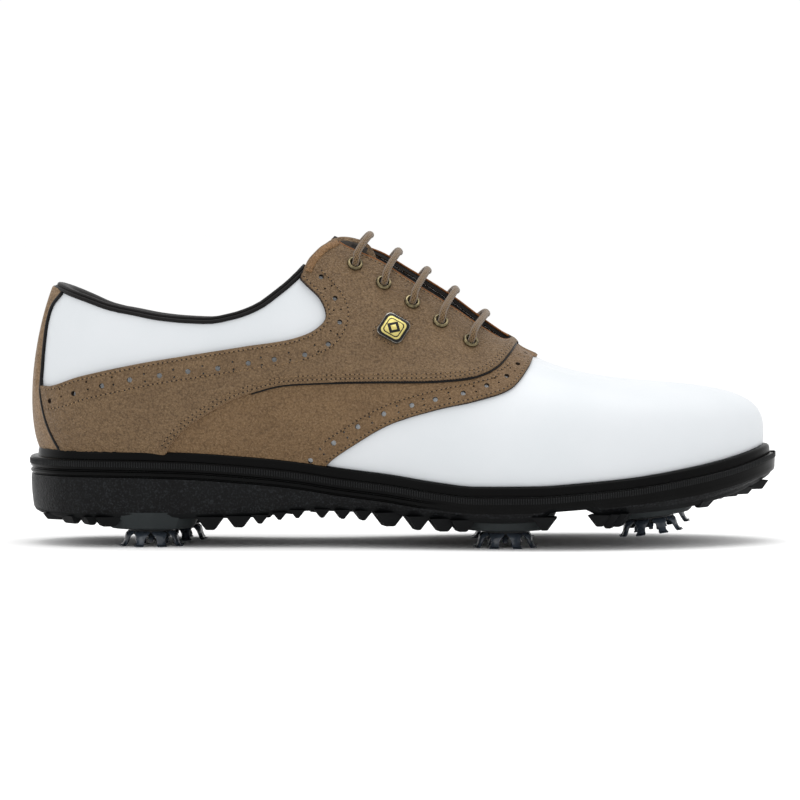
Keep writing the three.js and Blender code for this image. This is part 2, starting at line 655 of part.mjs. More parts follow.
// ---- Eyelets and lace ---------------------------------------------------------------------
function eyelet(place) {
  const flange = SADDLE_TOP + EYELET_LIFT;
  const profile = [
    [EYELET_BORE, -3.6], [EYELET_BARREL, -3.6], [EYELET_BARREL, flange], [EYELET_FLANGE, flange],
    [EYELET_FLANGE - 0.5, flange + 0.7], [EYELET_BORE, flange + 0.7], [EYELET_BORE, -3.6],
  ];
  const ringShape = new THREE.LatheGeometry(profile.map(([r, y]) => new THREE.Vector2(r, y)), 8);
  ringShape.applyQuaternion(new THREE.Quaternion().setFromUnitVectors(
    new THREE.Vector3(0, 1, 0),
    upperNormal(...place),
  ));
  const centre = onUpper(...place);
  return solidOf(ringShape.translate(centre.x, centre.y, centre.z));
}

// The lace crosses over the throat at each pair of eyelets and steps down under one facing between.
function lacePoints() {
  const places = { lateral: eyeletPlaces('lateral'), medial: eyeletPlaces('medial') };
  const through = ([u, v]) => [
    onUpper(u, v, LACE_UNDER),
    onUpper(u, v, -2.5),
    onUpper(u, v, SADDLE_TOP + EYELET_LIFT + 1.5),
    onUpper(u, v + 0.03, LACE_OVER),
  ];
  return EYELETS.flatMap((_, i) => {
    const [from, to] = i % 2 === 0 ? ['lateral', 'medial'] : ['medial', 'lateral'];
    const [start, end] = [through(places[from][i]), through(places[to][i]).reverse()];
    const over = [0.25, 0.5, 0.75].map((t) => {
      const point = start[3].clone().lerp(end[0], t);
      point.x += LACE_LEAN * Math.sin(Math.PI * t) ** 0.6;
      point.z = along(SPINE_Z, point.x) + LACE_CREST - (t === 0.5 ? 0 : 0.9);
      return point;
    });
    return [...start, ...over, ...end];
  });
}

function badgeBlock(size, from, to) {
  const half = size / 2;
  const corner = half * 0.45;
  const shape = new THREE.Shape();
  shape.moveTo(-half + corner, -half);
  shape.lineTo(half - corner, -half);
  shape.absarc(half - corner, -half + corner, corner, -Math.PI / 2, 0);
  shape.absarc(half - corner, half - corner, corner, 0, Math.PI / 2);
  shape.absarc(-half + corner, half - corner, corner, Math.PI / 2, Math.PI);
  shape.absarc(-half + corner, -half + corner, corner, Math.PI, 1.5 * Math.PI);
  const options = { depth: to - from, bevelEnabled: false, curveSegments: 2 };
  const geometry = new THREE.ExtrudeGeometry(shape, options);
  const place = placeAt('lateral', ...BADGE);
  const normal = upperNormal(...place);
  const axisX = new THREE.Vector3(1, 0, BADGE_SLOPE).projectOnPlane(normal).normalize();
  const axisY = normal.clone().cross(axisX);
  const centre = onUpper(...place, from);
  const frame = new THREE.Matrix4().makeBasis(axisX, axisY, normal).setPosition(centre);
  return solidOf(geometry.applyMatrix4(frame));
}

const badgeBase = () => badgeBlock(BADGE_SIZE, SADDLE_TOP + 0.5, SADDLE_TOP + 1.3);
const badgeFace = () => badgeBlock(BADGE_SIZE - 1.8, SADDLE_TOP + 1.6, SADDLE_TOP + 2.1);

// ---- Materials -----------------------------------------------------------------------------
function material(color, roughness, metalness = 0) {
  return new THREE.MeshStandardMaterial({ color, roughness, metalness });
}
const whiteLeather = () => material(0xe6e9ee, 0.45);
const tanLeather = () => material(0x7e6a56, 0.6);
const strapLeather = () => material(0x8e7760, 0.6);
const lowerLeather = () => material(0x756048, 0.6);
const darkLeather = () => material(0x1c1715, 0.5);
const darkLining = () => material(0x2a2524, 0.9);
const darkRubber = () => material(0x1e2124, 0.55);
const cleatPlastic = () => material(0x24272b, 0.45);
const insertPlastic = () => material(0x3a3d40, 0.5);
const foam = () => material(0xd8d4c8, 0.95);
const fibreBoard = () => material(0xb59a72, 0.9);
const stiffFibre = () => material(0xc9c2b2, 0.85);
const steel = () => material(0x9a9ca0, 0.35, 1);
const brass = () => material(0x8a6a34, 0.4, 1);
const laceCotton = () => material(0x6f5a42, 0.85);
const gold = () => material(0xc8a040, 0.35, 0.6);

// ---- The shoe ----------------------------------------------------------------------------------
const shoe = new THREE.Group();

function addPiece(name, piece, look) {
  const geometry = piece.isBufferGeometry ? piece : geometryOf(piece);
  const mesh = new THREE.Mesh(geometry, look);
  mesh.name = name;
  shoe.add(mesh);
  return mesh;
}

const SIDES = ['lateral', 'medial'];

addPiece('outsole', outsole(), darkRubber());
addPiece('midsole', midsole(), foam());
addPiece('shank', shank(), steel());
addPiece('insole_board', insoleBoard(), fibreBoard());
addPiece('footbed', footbed(), darkLining());
addPiece('vamp', vamp(), whiteLeather());
addPiece('toe_puff', toePuff(), stiffFibre());
addPiece('heel_counter', heelCounter(), stiffFibre());
addPiece('collar_foam', collarFoam(), foam());
addPiece('lining', lining(), darkLining());
addPiece('tongue', tongue(), darkLining());
addPiece('heel_strap', heelStrap(), strapLeather());
addPiece('collar_binding', collarBinding(), darkLeather());
SIDES.forEach((side) => {
  addPiece(`quarter_${side}`, quarter(side), whiteLeather());
  addPiece(`upper_saddle_${side}`, upperSaddle(side), tanLeather());
  addPiece(`lower_saddle_${side}`, lowerSaddle(side), lowerLeather());
  addPiece(`piping_${side}`, piping(side), darkLeather());
  eyeletPlaces(side).forEach((place, i) => addPiece(`eyelet_${side}_${i + 1}`, eyelet(place), brass()));
});
addPiece('lace', tube(lacePoints(), LACE_RADIUS, 8), laceCotton());
addPiece('badge_base', badgeBase(), steel());
addPiece('badge_face', badgeFace(), gold());

CLEATS.forEach((cleat) => {
  const [name, x, y, z, lean] = cleat;
  addPiece(`receptacle_${name}`, receptacle(cleat), insertPlastic());
  const holder = new THREE.Group();
  const mesh = addPiece(`cleat_${name}`, cleatShape(), cleatPlastic());
  holder.position.set(x, y, z);
  holder.rotation.y = THREE.MathUtils.degToRad(-lean);
  holder.add(mesh);
  shoe.add(holder);
});

// The origin is in the middle of the footprint, on the ground.
const bounds = new THREE.Box3().setFromObject(shoe);
const middle = bounds.getCenter(new THREE.Vector3());
const object = new THREE.Group();
shoe.position.set(-middle.x, -middle.y, -bounds.min.z);
object.add(shoe);

export default object;
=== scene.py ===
"""Looks of a right-foot saddle golf shoe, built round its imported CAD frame.

Sizes are in millimetres in the shoe's own frame (x from the heel, z from the ground) and turn into
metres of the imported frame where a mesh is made.
"""
import math

import bmesh
import bpy
import numpy as np
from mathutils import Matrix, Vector
from mathutils.geometry import delaunay_2d_cdt


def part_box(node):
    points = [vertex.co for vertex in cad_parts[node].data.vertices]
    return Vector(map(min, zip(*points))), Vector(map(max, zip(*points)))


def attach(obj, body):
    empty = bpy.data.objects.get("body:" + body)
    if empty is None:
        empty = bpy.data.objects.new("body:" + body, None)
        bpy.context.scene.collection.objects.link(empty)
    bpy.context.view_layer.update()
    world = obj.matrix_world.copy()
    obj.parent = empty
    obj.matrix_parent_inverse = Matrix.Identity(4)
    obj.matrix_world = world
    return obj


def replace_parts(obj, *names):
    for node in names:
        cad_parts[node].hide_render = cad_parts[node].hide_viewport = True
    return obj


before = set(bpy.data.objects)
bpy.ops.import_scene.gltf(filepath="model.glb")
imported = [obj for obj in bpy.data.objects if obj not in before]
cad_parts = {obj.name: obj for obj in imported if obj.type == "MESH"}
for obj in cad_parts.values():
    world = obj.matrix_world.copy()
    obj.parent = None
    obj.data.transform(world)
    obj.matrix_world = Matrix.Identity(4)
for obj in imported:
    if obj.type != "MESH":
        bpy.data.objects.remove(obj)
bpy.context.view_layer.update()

# ---- Frame and driving sizes ---------------------------------------------------------------
HEEL_CLEAT = (50.0, -19.5)       # axis of the heel's lateral cleat in the shoe's own frame
_low, _high = (np.array(corner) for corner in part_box("cleat_heel_lateral"))
SHIFT = np.array([*((_low + _high)[:2] / 2 * 1000 - HEEL_CLEAT), 0.0])

HEEL_POLE = 38.0                 # the heel wall turns about this x
TOE_POLE = 195.0                 # the toe box turns about this x
TOE_TIP = 296.8
TOE_RISE = 15.0
GIRTH = 95.0                     # width of half the upper when it is laid flat

OUTER = 1.6                      # white leather
LINING = 1.6
SADDLE_TOP = 2.2                 # outer faces of the panels, from the white leather
SADDLE_STEP = 0.55               # how much higher the upper saddle stands over the lower one
LOWER_TOP = 1.7
LOWER_FACE = LOWER_TOP - 0.1
STRAP_TOP = 1.9
PANEL_UNDER = 0.1                # under faces of those panels
WHITE_UNDER = -1.4               # under face of the white leather
HEEL_BACKING = 2.4               # heel counter and collar foam
TOE_BACKING = 1.6
THROAT_SHIFT = -2.0
THROAT = [(96, -8, 9.5), (125, -9.5, 8.5), (150, -11.3, 7.9), (175, -12.9, 6.8), (186, -13, 6.2)]
THROAT_FRONT = 186.0             # its sides run to here, and its rounded end from here on
THROAT_END = 193.3
EYELETS = [(131.3, 111.7), (142.7, 104.2), (154.1, 96.5), (165.5, 88.8), (177.4, 80.9)]
SIDES = ("lateral", "medial")

# ---- Lines of the shoe -----------------------------------------------------------------------
FEATHER = np.array([
    (6.5, 0, 0), (8.8, -13, 13), (18, -25.5, 25), (35, -32.5, 32), (65, -33.5, 31), (100, -32, 26),
    (130, -34.5, 27), (160, -41.5, 35), (190, -47.5, 44), (215, -48.5, 46.5), (240, -44, 45),
    (263, -35.5, 40.5), (281, -23, 32.5), (292.5, -9.5, 19.5), (TOE_TIP, 5, 5),
])


def smooth_table(points):
    """A function through the points with no overshoot between them."""
    xs, ys = np.array(points, float).T
    slopes = np.diff(ys) / np.diff(xs)
    tangents = np.empty_like(ys)
    tangents[0], tangents[-1] = slopes[0], slopes[-1]
    a, b = slopes[:-1], slopes[1:]
    with np.errstate(divide="ignore", invalid="ignore"):
        tangents[1:-1] = np.where(a * b <= 0, 0, 2 * a * b / (a + b))

    def value(x):
        x = np.clip(np.asarray(x, float), xs[0], xs[-1])
        i = np.clip(np.searchsorted(xs, x, side="right") - 1, 0, len(xs) - 2)
        width = xs[i + 1] - xs[i]
        t = (x - xs[i]) / width
        m0, m1 = tangents[i] * width, tangents[i + 1] * width
        rise = ys[i + 1] - ys[i]
        return ys[i] + t * (m0 + t * (3 * rise - 2 * m0 - m1 + t * (m0 + m1 - 2 * rise)))

    return value


feather_z = smooth_table([
    (0, 38.5), (34, 38.4), (63, 37.7), (87, 36), (107, 34), (126, 31.2), (146, 28.8), (165, 25.9),
    (180, 24.4), (204, 24.7), (224, 26.1), (243, 27.9), (262, 30.8), (282, 34.8), (302, 40.6),
])
spine_z = smooth_table([
    (38, 127), (80, 130), (106, 131), (117, 128.5), (126, 123.4), (141, 117.4), (151, 110.9), (170, 98.3),
    (180, 90.6), (189.5, 83.8), (195, 80.3),
])
spine_y = smooth_table([(38, 0), (100, 1), (150, 3), (195, 3.5)])
squareness = smooth_table([
    (0, 2.9), (38, 2.9), (65, 2.8), (100, 2.4), (130, 2.1), (160, 2), (195, 2.15), (240, 3), (270, 3.7),
    (TOE_TIP, 4.3),
])
bulge = smooth_table([
    (0, 3.9), (38, 3.2), (65, 3), (100, 2.5), (160, 2.5), (195, 2.2), (240, 1.8), (TOE_TIP, 0.6),
])
collar_z = smooth_table([
    (4, 108.5), (10.5, 106), (24.3, 100.5), (34, 96.7), (43.7, 94.7), (53.5, 92.8), (63.2, 91.8),
    (72.9, 91.4), (82.6, 93), (92.3, 96.5), (102.1, 103.8), (111.8, 113.3), (123.5, 121.9), (133, 128),
])
sole_bottom = smooth_table([
    (0, 16), (8, 12.6), (20, 11.4), (60, 11.4), (90, 12), (115, 14.6), (140, 14), (160, 12), (190, 10.5),
    (215, 12), (240, 14), (262, 16), (280, 20), (292, 24.5), (302, 29.5),
])

# Side-view lines of the panels, x and z.
QUARTER_EDGE = [
    (4, 65), (9.7, 64), (21.5, 68), (33.4, 71), (48.6, 74.1), (68, 77.2), (87.5, 80.2), (106.9, 83.2),
    (115.9, 86.8), (120, 91.6), (117.9, 98.6), (112.6, 104), (109, 107.5),
]
UPPER_SADDLE_EDGE = [
    (53.9, 33), (58.3, 41.7), (63.2, 47), (72.9, 53.9), (82.6, 59.1), (92.3, 62.4), (102.1, 64.8),
    (113.8, 65.6), (140, 66.1), (165, 66.1), (180, 67.6), (188, 71), (193, 76), (196, 80),
]
LOWER_SADDLE_EDGE = [
    (117, 28), (121.5, 34), (131.2, 40.9), (145.8, 49.4), (165.2, 55.5), (180, 58.7), (194.4, 63.6),
    (201, 71), (204.5, 77),
]
PIPING_EDGE = [
    (13.9, 101.4), (9.8, 96.2), (7.7, 89.5), (6.7, 81.8), (5.9, 71.4), (5.4, 61.6), (7.7, 50.2), (10.3, 44),
    (13.4, 38.6),
]


def smoothstep(low, high, x):
    t = np.clip((np.asarray(x, float) - low) / (high - low), 0, 1)
    return t * t * (3 - 2 * t)


def unit(vectors):
    return vectors / np.maximum(np.linalg.norm(vectors, axis=-1, keepdims=True), 1e-12)


# ---- The upper's surface ---------------------------------------------------------------------
# u runs round the feather edge from the heel along the lateral side, v from that edge to the top.
_loop = np.vstack([FEATHER[:, :2], FEATHER[-2:0:-1][:, [0, 2]]])


def feather(u, out=0.0):
    """Points of the feather edge moved outward by a distance."""
    t = np.mod(np.asarray(u, float), 1) * len(_loop)
    i = np.floor(t).astype(int) % len(_loop)
    w = (t - np.floor(t))[..., None]
    p0, p1, p2, p3 = (_loop[(i + k) % len(_loop)] for k in (-1, 0, 1, 2))
    m0, m1 = (p2 - p0) / 2, (p3 - p1) / 2
    c2, c3 = 3 * (p2 - p1) - 2 * m0 - m1, 2 * (p1 - p2) + m0 + m1
    point = p1 + w * (m0 + w * (c2 + w * c3))
    tangent = unit(m0 + w * (2 * c2 + 3 * w * c3))
    z = feather_z(point[..., 0])
    outward = np.stack([tangent[..., 1], -tangent[..., 0]], -1)
    point = point + outward * np.asarray(out, float)[..., None]
    return np.concatenate([point, z[..., None]], -1)


def upper(u, v):
    """The outer face of the white leather, and of everything else before it is moved in or out."""
    foot = feather(u)
    v = np.asarray(v, float)
    below = np.minimum(v, 0) * GIRTH
    v = np.maximum(v, 0)
    sx = np.clip(foot[..., 0], HEEL_POLE, TOE_POLE)
    sy, sz = spine_y(sx), spine_z(sx)
    n = squareness(foot[..., 0])
    c, s = np.cos(v * np.pi / 2).clip(0), np.sin(v * np.pi / 2)
    reach = (c ** n + s ** n) ** (-1 / n)
    outward, height = reach * c, reach * s
    toward = np.clip((foot[..., 0] - TOE_POLE) / (TOE_TIP - TOE_POLE), 0, 1)
    rise = TOE_RISE * toward * (2 - toward)
    swell = bulge(foot[..., 0]) * np.sin(np.pi * np.clip(height / 0.78, 0, 1) ** 0.62)
    side = foot[..., :2] - np.stack([sx, sy], -1)
    width = np.linalg.norm(side, axis=-1)
    side = side * ((width * outward + swell) / width)[..., None]
    z = foot[..., 2] + (sz - foot[..., 2] - rise) * height + rise * (1 - outward).clip(0) ** 4.4
    return np.stack([sx + side[..., 0], sy + side[..., 1], z + below], -1)


def upper_normal(u, v):
    """The outward normal of the white leather, steadied near the top line."""
    v = np.minimum(np.asarray(v, float), 0.985)
    across = upper(u + 0.002, v) - upper(u - 0.002, v)
    low = np.maximum(v - 0.01, 0)
    up = upper(u, low + 0.02) - upper(u, low)
    return unit(np.cross(across, up))


def on_upper(u, v, out=0.0):
    u, v = np.broadcast_arrays(np.asarray(u, float), np.asarray(v, float))
    return upper(u, v) + upper_normal(u, v) * np.asarray(out, float)[..., None]


def halving(low, high, count, is_short, steps=26):
    """The values between low and high up to which a test holds, found by halving."""
    low, high = np.full(count, float(low)), np.full(count, float(high))
    for _ in range(steps):
        middle = (low + high) / 2
        short = is_short(middle)
        low, high = np.where(short, middle, low), np.where(short, high, middle)
    return (low + high) / 2


def place_at(side, xz):
    """(u, v) of the points of one side that the side view shows at x and z."""
    x, z = np.atleast_2d(np.array(xz, float)).T

    def turned(way):
        return way if side == "lateral" else 1 - way

    def row(turn):
        return halving(0, 0.995, len(x), lambda v: upper(turn, v)[:, 2] < z)

    def is_short(way):
        return upper(turned(way), row(turned(way)))[:, 0] < x

    turn = turned(halving(0.0005, 0.4995, len(x), is_short))
    return turn, row(turn)


# ---- The upper laid flat -----------------------------------------------------------------------
# Flat points are (a, b): a is the x of the top line, b the way down from it (lateral side negative),
# and the heel and toe open as fans about their poles.
HALF_TURN = 4000                 # steps of u along each side
_u = np.linspace(0, 1, 2 * HALF_TURN + 1)
_foot_x = feather(_u)[:, 0]


def turn_at(side, x):
    """u of one side where the feather edge has this x."""
    if side == "lateral":
        return np.interp(x, _foot_x[:HALF_TURN + 1], _u[:HALF_TURN + 1])
    return np.interp(x, _foot_x[HALF_TURN:][::-1], _u[HALF_TURN:][::-1])


def _fan(u):
    foot = feather(u)
    sx = np.clip(foot[..., 0], HEEL_POLE, TOE_POLE)
    return sx, unit(foot[..., :2] - np.stack([sx, spine_y(sx)], -1))


def to_flat(u, v):
    sx, way = _fan(u)
    return np.stack([sx, np.zeros_like(sx)], -1) + way * ((1 - np.asarray(v, float)) * GIRTH)[..., None]


def _angle_table(u):
    _, way = _fan(u)
    return np.unwrap(np.arctan2(way[:, 1], way[:, 0]))


_heel_end, _toe_end = turn_at("lateral", HEEL_POLE), turn_at("lateral", TOE_POLE)
_toe_u = np.linspace(_toe_end, 1 - _toe_end, 2001)
_toe_angle = _angle_table(_toe_u)
_heel_u = np.linspace(-_heel_end, _heel_end, 2001)
_heel_angle = _angle_table(_heel_u)


def from_flat(flat):
    a, b = flat[..., 0], flat[..., 1]
    sx = np.clip(a, HEEL_POLE, TOE_POLE)
    distance = np.hypot(a - sx, b)
    middle = turn_at("lateral", sx)
    u = np.where(b <= 0, middle, 1 - middle)
    toe = np.interp(np.arctan2(b, a - TOE_POLE), _toe_angle, _toe_u)
    heel = np.interp(np.mod(np.arctan2(b, a - HEEL_POLE), 2 * np.pi), _heel_angle, _heel_u)
    u = np.where(a > TOE_POLE, toe, u)
    u = np.where(a < HEEL_POLE, heel, u)
    return u, np.clip(1 - distance / GIRTH, -0.2, 1)


# ---- Points and lines on the surface -----------------------------------------------------------
def surface(flat, out=0.0):
    return on_upper(*from_flat(flat), out)


def jacobian(flat):
    """How points of the surface move with flat steps along a and along b."""
    step = 0.3
    across = (surface(flat + (step, 0)) - surface(flat - (step, 0))) / (2 * step)
    down = (surface(flat + (0, step)) - surface(flat - (0, step))) / (2 * step)
    return np.stack([across, down], -1)


def flat_steps(flat, vectors):
    """The flat steps that move the points of a surface by 3-D vectors along it."""
    return np.einsum("nij,nj->ni", np.linalg.pinv(jacobian(flat)), vectors)


def line_frame(flat, closed):
    """Unit tangents, and unit vectors along the surface to the left of a line, seen from outside."""
    points = surface(flat)
    if closed:
        tangents = unit(np.roll(points, -1, 0) - np.roll(points, 1, 0))
    else:
        tangents = unit(np.gradient(points, axis=0))
    normals = upper_normal(*from_flat(flat))
    return tangents, unit(np.cross(normals, tangents)), normals


def parallel(flat, distance, closed=False):
    """A line moved to its left by a distance, measured along the surface."""
    _, left, _ = line_frame(flat, closed)
    return flat + flat_steps(flat, left * distance)


def distances(path):
    """How far each point of a path is along it."""
    return np.r_[0, np.cumsum(np.linalg.norm(np.diff(path, axis=0), axis=1))]


def resample(flat, step, closed=False):
    """Points an even distance apart along a line."""
    if closed:
        flat = np.vstack([flat, flat[:1]])
    points = surface(flat)
    travelled = distances(points)
    count = max(int(round(travelled[-1] / step)), 2)
    wanted = np.linspace(0, travelled[-1], count + 1)
    if closed:
        wanted = wanted[:-1]
    return np.stack([np.interp(wanted, travelled, flat[:, k]) for k in (0, 1)], -1)


def with_ends(points):
    """Points with one more beyond each end."""
    return np.vstack([2 * points[0] - points[1], points, 2 * points[-1] - points[-2]])


def spline_point(p, k, t):
    """The point at t of the smooth line through four points p, between the middle two of their knots k."""
    a = [(p[j] * (k[j + 1] - t) + p[j + 1] * (t - k[j])) / (k[j + 1] - k[j]) for j in range(3)]
    b = [(a[j] * (k[j + 2] - t) + a[j + 1] * (t - k[j])) / (k[j + 2] - k[j]) for j in range(2)]
    return (b[0] * (k[2] - t) + b[1] * (t - k[1])) / (k[2] - k[1])


def curve(points, count):
    """A smooth line through points of the side view."""
    ends = with_ends(np.array(points, float))
    knots = np.r_[0, np.cumsum(np.sqrt(np.linalg.norm(np.diff(ends, axis=0), axis=1)))]
    result = []
    for t in np.linspace(knots[1], knots[-2], count + 1):
        i = min(max(np.searchsorted(knots, t, side="right") - 1, 1), len(points) - 1)
        result.append(spline_point(ends[i - 1:i + 3], knots[i - 1:i + 3], t))
    return np.array(result)


def side_line(side, points, count):
    """A smooth side-view line put on one side of the shoe, as flat points."""
    return to_flat(*place_at(side, curve(points, count)))


def inside(points, polygon):
    """Which points are inside a polygon."""
    result = np.zeros(len(points), bool)
    previous = np.roll(polygon, 1, 0)
    for (x0, y0), (x1, y1) in zip(previous, polygon):
        crosses = (y0 > points[:, 1]) != (y1 > points[:, 1])
        with np.errstate(divide="ignore", invalid="ignore"):
            at = (x1 - x0) * (points[:, 1] - y0) / (y1 - y0) + x0
        result ^= crosses & (points[:, 0] < at)
    return result


def signed_area(polygon):
    x, y = polygon.T
    return 0.5 * np.sum(x * np.roll(y, -1) - y * np.roll(x, -1))


# ---- Meshes ------------------------------------------------------------------------------------
def metres(points):
    return (np.asarray(points) + SHIFT) / 1000


def make_mesh(name, points, faces, material, body="shoe"):
    """A smooth-shaded piece from points in the shoe's own frame, riding on a body."""
    data = bpy.data.meshes.new(name)
    data.from_pydata([tuple(p) for p in metres(points)], [], [tuple(map(int, f)) for f in faces])
    data.validate()
    data.update()
    data.shade_smooth()
    piece = bpy.data.objects.new(name, data)
    bpy.context.collection.objects.link(piece)
    for look in material if isinstance(material, (list, tuple)) else [material]:
        data.materials.append(look)
    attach(piece, body)
    return piece


def grid_faces(rows, columns, closed=True, capped=False):
    """Faces between rows of points that are rings, or open lines. capped closes both ends of a tube."""
    faces = []
    for low in range(0, (rows - 1) * columns, columns):
        for i in range(columns if closed else columns - 1):
            after = (i + 1) % columns
            faces.append((low + i, low + after, low + columns + after, low + columns + i))
    if capped:
        last = (rows - 1) * columns
        faces += [tuple(range(columns))[::-1], tuple(range(last, last + columns))]
    return faces


def around(sides):
    """Angles of the corners of a ring."""
    return np.arange(sides) / sides * 2 * np.pi


def sharpen(piece, degrees):
    """Keeps the shading crisp over edges that turn more than an angle."""
    mesh = bmesh.new()
    mesh.from_mesh(piece.data)
    for edge in mesh.edges:
        edge.smooth = edge.calc_face_angle(0) < math.radians(degrees)
    mesh.to_mesh(piece.data)
    mesh.free()
    return piece


def open_edges(triangles):
    """Edges that belong to one triangle, in that triangle's direction."""
    owned = set()
    for a, b, c in triangles:
        owned.update([(a, b), (b, c), (c, a)])
    return [edge for edge in owned if edge[::-1] not in owned]


def nearest(points, line, chunks=40):
    """How far each point is from the nearest point of a line."""
    gaps = [
        np.linalg.norm(part[:, None] - line[None], axis=2).min(1)
        for part in np.array_split(points, chunks) if len(part)
    ]
    return np.concatenate(gaps) if gaps else np.zeros(0)


def flat_triangles(outline, holes, spacing, extra_rings):
    """Fills a flat outline with even triangles round its holes. Returns points and triangles."""
    (low_x, low_y), (high_x, high_y) = outline.min(0), outline.max(0)
    grid = np.array([
        (x, y) for k, y in enumerate(np.arange(low_y, high_y, spacing * 0.866))
        for x in np.arange(low_x + (k % 2) * spacing / 2, high_x, spacing)
    ])
    grid = grid[inside(grid, outline)]
    fixed = np.vstack([outline, *extra_rings, *holes])
    grid = grid[nearest(grid, fixed) > spacing * 0.6]
    for hole in holes:
        grid = grid[~inside(grid, hole)]
    rings = [outline, *holes]
    edges, start = [], 0
    for ring_points in rings:
        count = len(ring_points)
        edges += [(start + k, start + (k + 1) % count) for k in range(count)]
        start += count
    coords = np.vstack([*rings, *extra_rings, grid])
    points, _, faces, *_ = delaunay_2d_cdt([Vector(p) for p in coords], edges, [], 0, 1e-5)
    points = np.array([tuple(p) for p in points])
    faces = np.array(faces)
    middles = points[faces].mean(1)
    keep = inside(middles, outline)
    for hole in holes:
        keep &= ~inside(middles, hole)
    faces = faces[keep]
    a, b, c = points[faces[:, 0]], points[faces[:, 1]], points[faces[:, 2]]
    area = (b - a)[:, 0] * (c - a)[:, 1] - (b - a)[:, 1] * (c - a)[:, 0]
    faces[area < 0] = faces[area < 0][:, ::-1]
    return points, faces[np.abs(area) > 1e-6]


EDGE_STEP = 1.2                  # between the points of a panel's outline
HOLE_DIP, HOLE_REACH = 0.22, 1.2     # how deep the leather dips beside a punched hole, and how far


def panel(
    name, outline, holes, top, base, materials, replaces,
    spacing=2.3, roll=0.9, drop=0.45, edges=(),
):
    """A leather panel on the upper, with rolled edges and punched holes.

    top and base are the distances of its two faces from the white leather, or functions of flat points.
    materials[0] is its face; edges gives flat lines and the material that the nearby cut edge takes.
    """
    outline = resample(outline, EDGE_STEP, closed=True)
    if signed_area(outline) < 0:
        outline = outline[::-1]
    inner = 1 if inside(parallel(outline, roll, closed=True), outline).mean() > 0.5 else -1
    rings = [parallel(outline, inner * roll * k, closed=True) for k in (0.3, 1.0)]
    rings = [line[inside(line, outline) & (nearest(line, outline) > 0.2 * roll)] for line in rings]
    points, faces = flat_triangles(outline, holes, spacing, rings)
    dense = np.vstack([outline, (outline + np.roll(outline, -1, 0)) / 2])
    turned = np.clip(1 - nearest(points, dense) / roll, 0, 1)
    height = (top(points) if callable(top) else top) - drop * (1 - np.sqrt(1 - turned ** 2))
    for hole in holes:
        centre = hole.mean(0)
        radius = np.linalg.norm(hole - centre, axis=1).mean()
        reach = np.linalg.norm(points - centre, axis=1)
        height = height - HOLE_DIP * np.clip(1 - (reach - radius) / HOLE_REACH, 0, 1) ** 2
    low = base(points) if callable(base) else base
    front, back = surface(points, height), surface(points, low)
    a, b, c = (front[faces[:, k]] for k in range(3))
    normals = upper_normal(*from_flat(points[faces].mean(1)))
    if np.mean(np.einsum("ni,ni->n", np.cross(b - a, c - a), normals)) < 0:
        faces = faces[:, ::-1]
    count = len(points)
    rims = open_edges([tuple(f) for f in faces])
    sides = [(i, i + count, j + count, j) for i, j in rims]
    all_faces = [tuple(f) for f in faces] + [tuple(f[::-1] + count) for f in faces] + sides
    piece = make_mesh(name, np.vstack([front, back]), all_faces, materials)
    if edges:
        paint_edges(piece, points, faces, rims, dense, roll, edges)
    sharpen(piece, 50)
    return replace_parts(piece, replaces)


def paint_edges(piece, points, faces, rims, outline, roll, edges):
    """Gives the cut edge of a panel, and the corner over it, the material of the nearest edge line."""
    lines = [resample(line, 1.0) for line, _ in edges]

    def kinds(places):
        return np.argmin(np.stack([nearest(places, line) for line in lines]), 0)

    count = len(faces)
    rim_middles = points[np.array(rims)].mean(1)
    rim_kinds, near = kinds(rim_middles), nearest(rim_middles, outline) < 0.9
    for k, (kind, close) in enumerate(zip(rim_kinds, near)):
        piece.data.polygons[2 * count + k].material_index = edges[kind][1] if close else 1
    middles = points[faces].mean(1)
    corner = np.where(nearest(middles, outline) < 0.2 * roll + 0.05)[0]
    if len(corner):
        for face, kind in zip(corner, kinds(middles[corner])):
            piece.data.polygons[int(face)].material_index = edges[kind][1]


def round_holes(centres, radius, sides):
    """Flat outlines of round holes."""
    turns = around(sides)
    steps = np.linalg.pinv(jacobian(centres))
    tangents = unit(jacobian(centres)[:, :, 0])
    normals = upper_normal(*from_flat(centres))
    left = unit(np.cross(normals, tangents))
    holes = []
    for centre, step, along_x, along_y in zip(centres, steps, tangents, left):
        circle = np.cos(turns)[:, None] * along_x + np.sin(turns)[:, None] * along_y
        holes.append(centre + radius * circle @ step.T)
    return holes


def sweep(name, path, radius, material, sides):
    """A rod along a path."""
    tangents = unit(np.gradient(path, axis=0))
    side = unit(np.cross(tangents[0], (0.1, 0.2, 1.0)))
    frames = []
    for tangent in tangents:
        side = unit(side - tangent * np.dot(side, tangent))
        frames.append((side, np.cross(tangent, side)))
    turns = around(sides)[:, None]
    rings = [
        centre + radius * (np.cos(turns) * a + np.sin(turns) * b)
        for centre, (a, b) in zip(path, frames)
    ]
    faces = grid_faces(len(path), sides, capped=True)
    return make_mesh(name, np.vstack(rings), faces, material)


# ---- Materials ---------------------------------------------------------------------------------
def colour(red, green, blue):
    """A colour given as a screen shows it, from 0 to 255, with full alpha."""

    def linear(level):
        return level / 255 / 12.92 if level <= 10 else ((level / 255 + 0.055) / 1.055) ** 2.4

    return (linear(red), linear(green), linear(blue), 1)


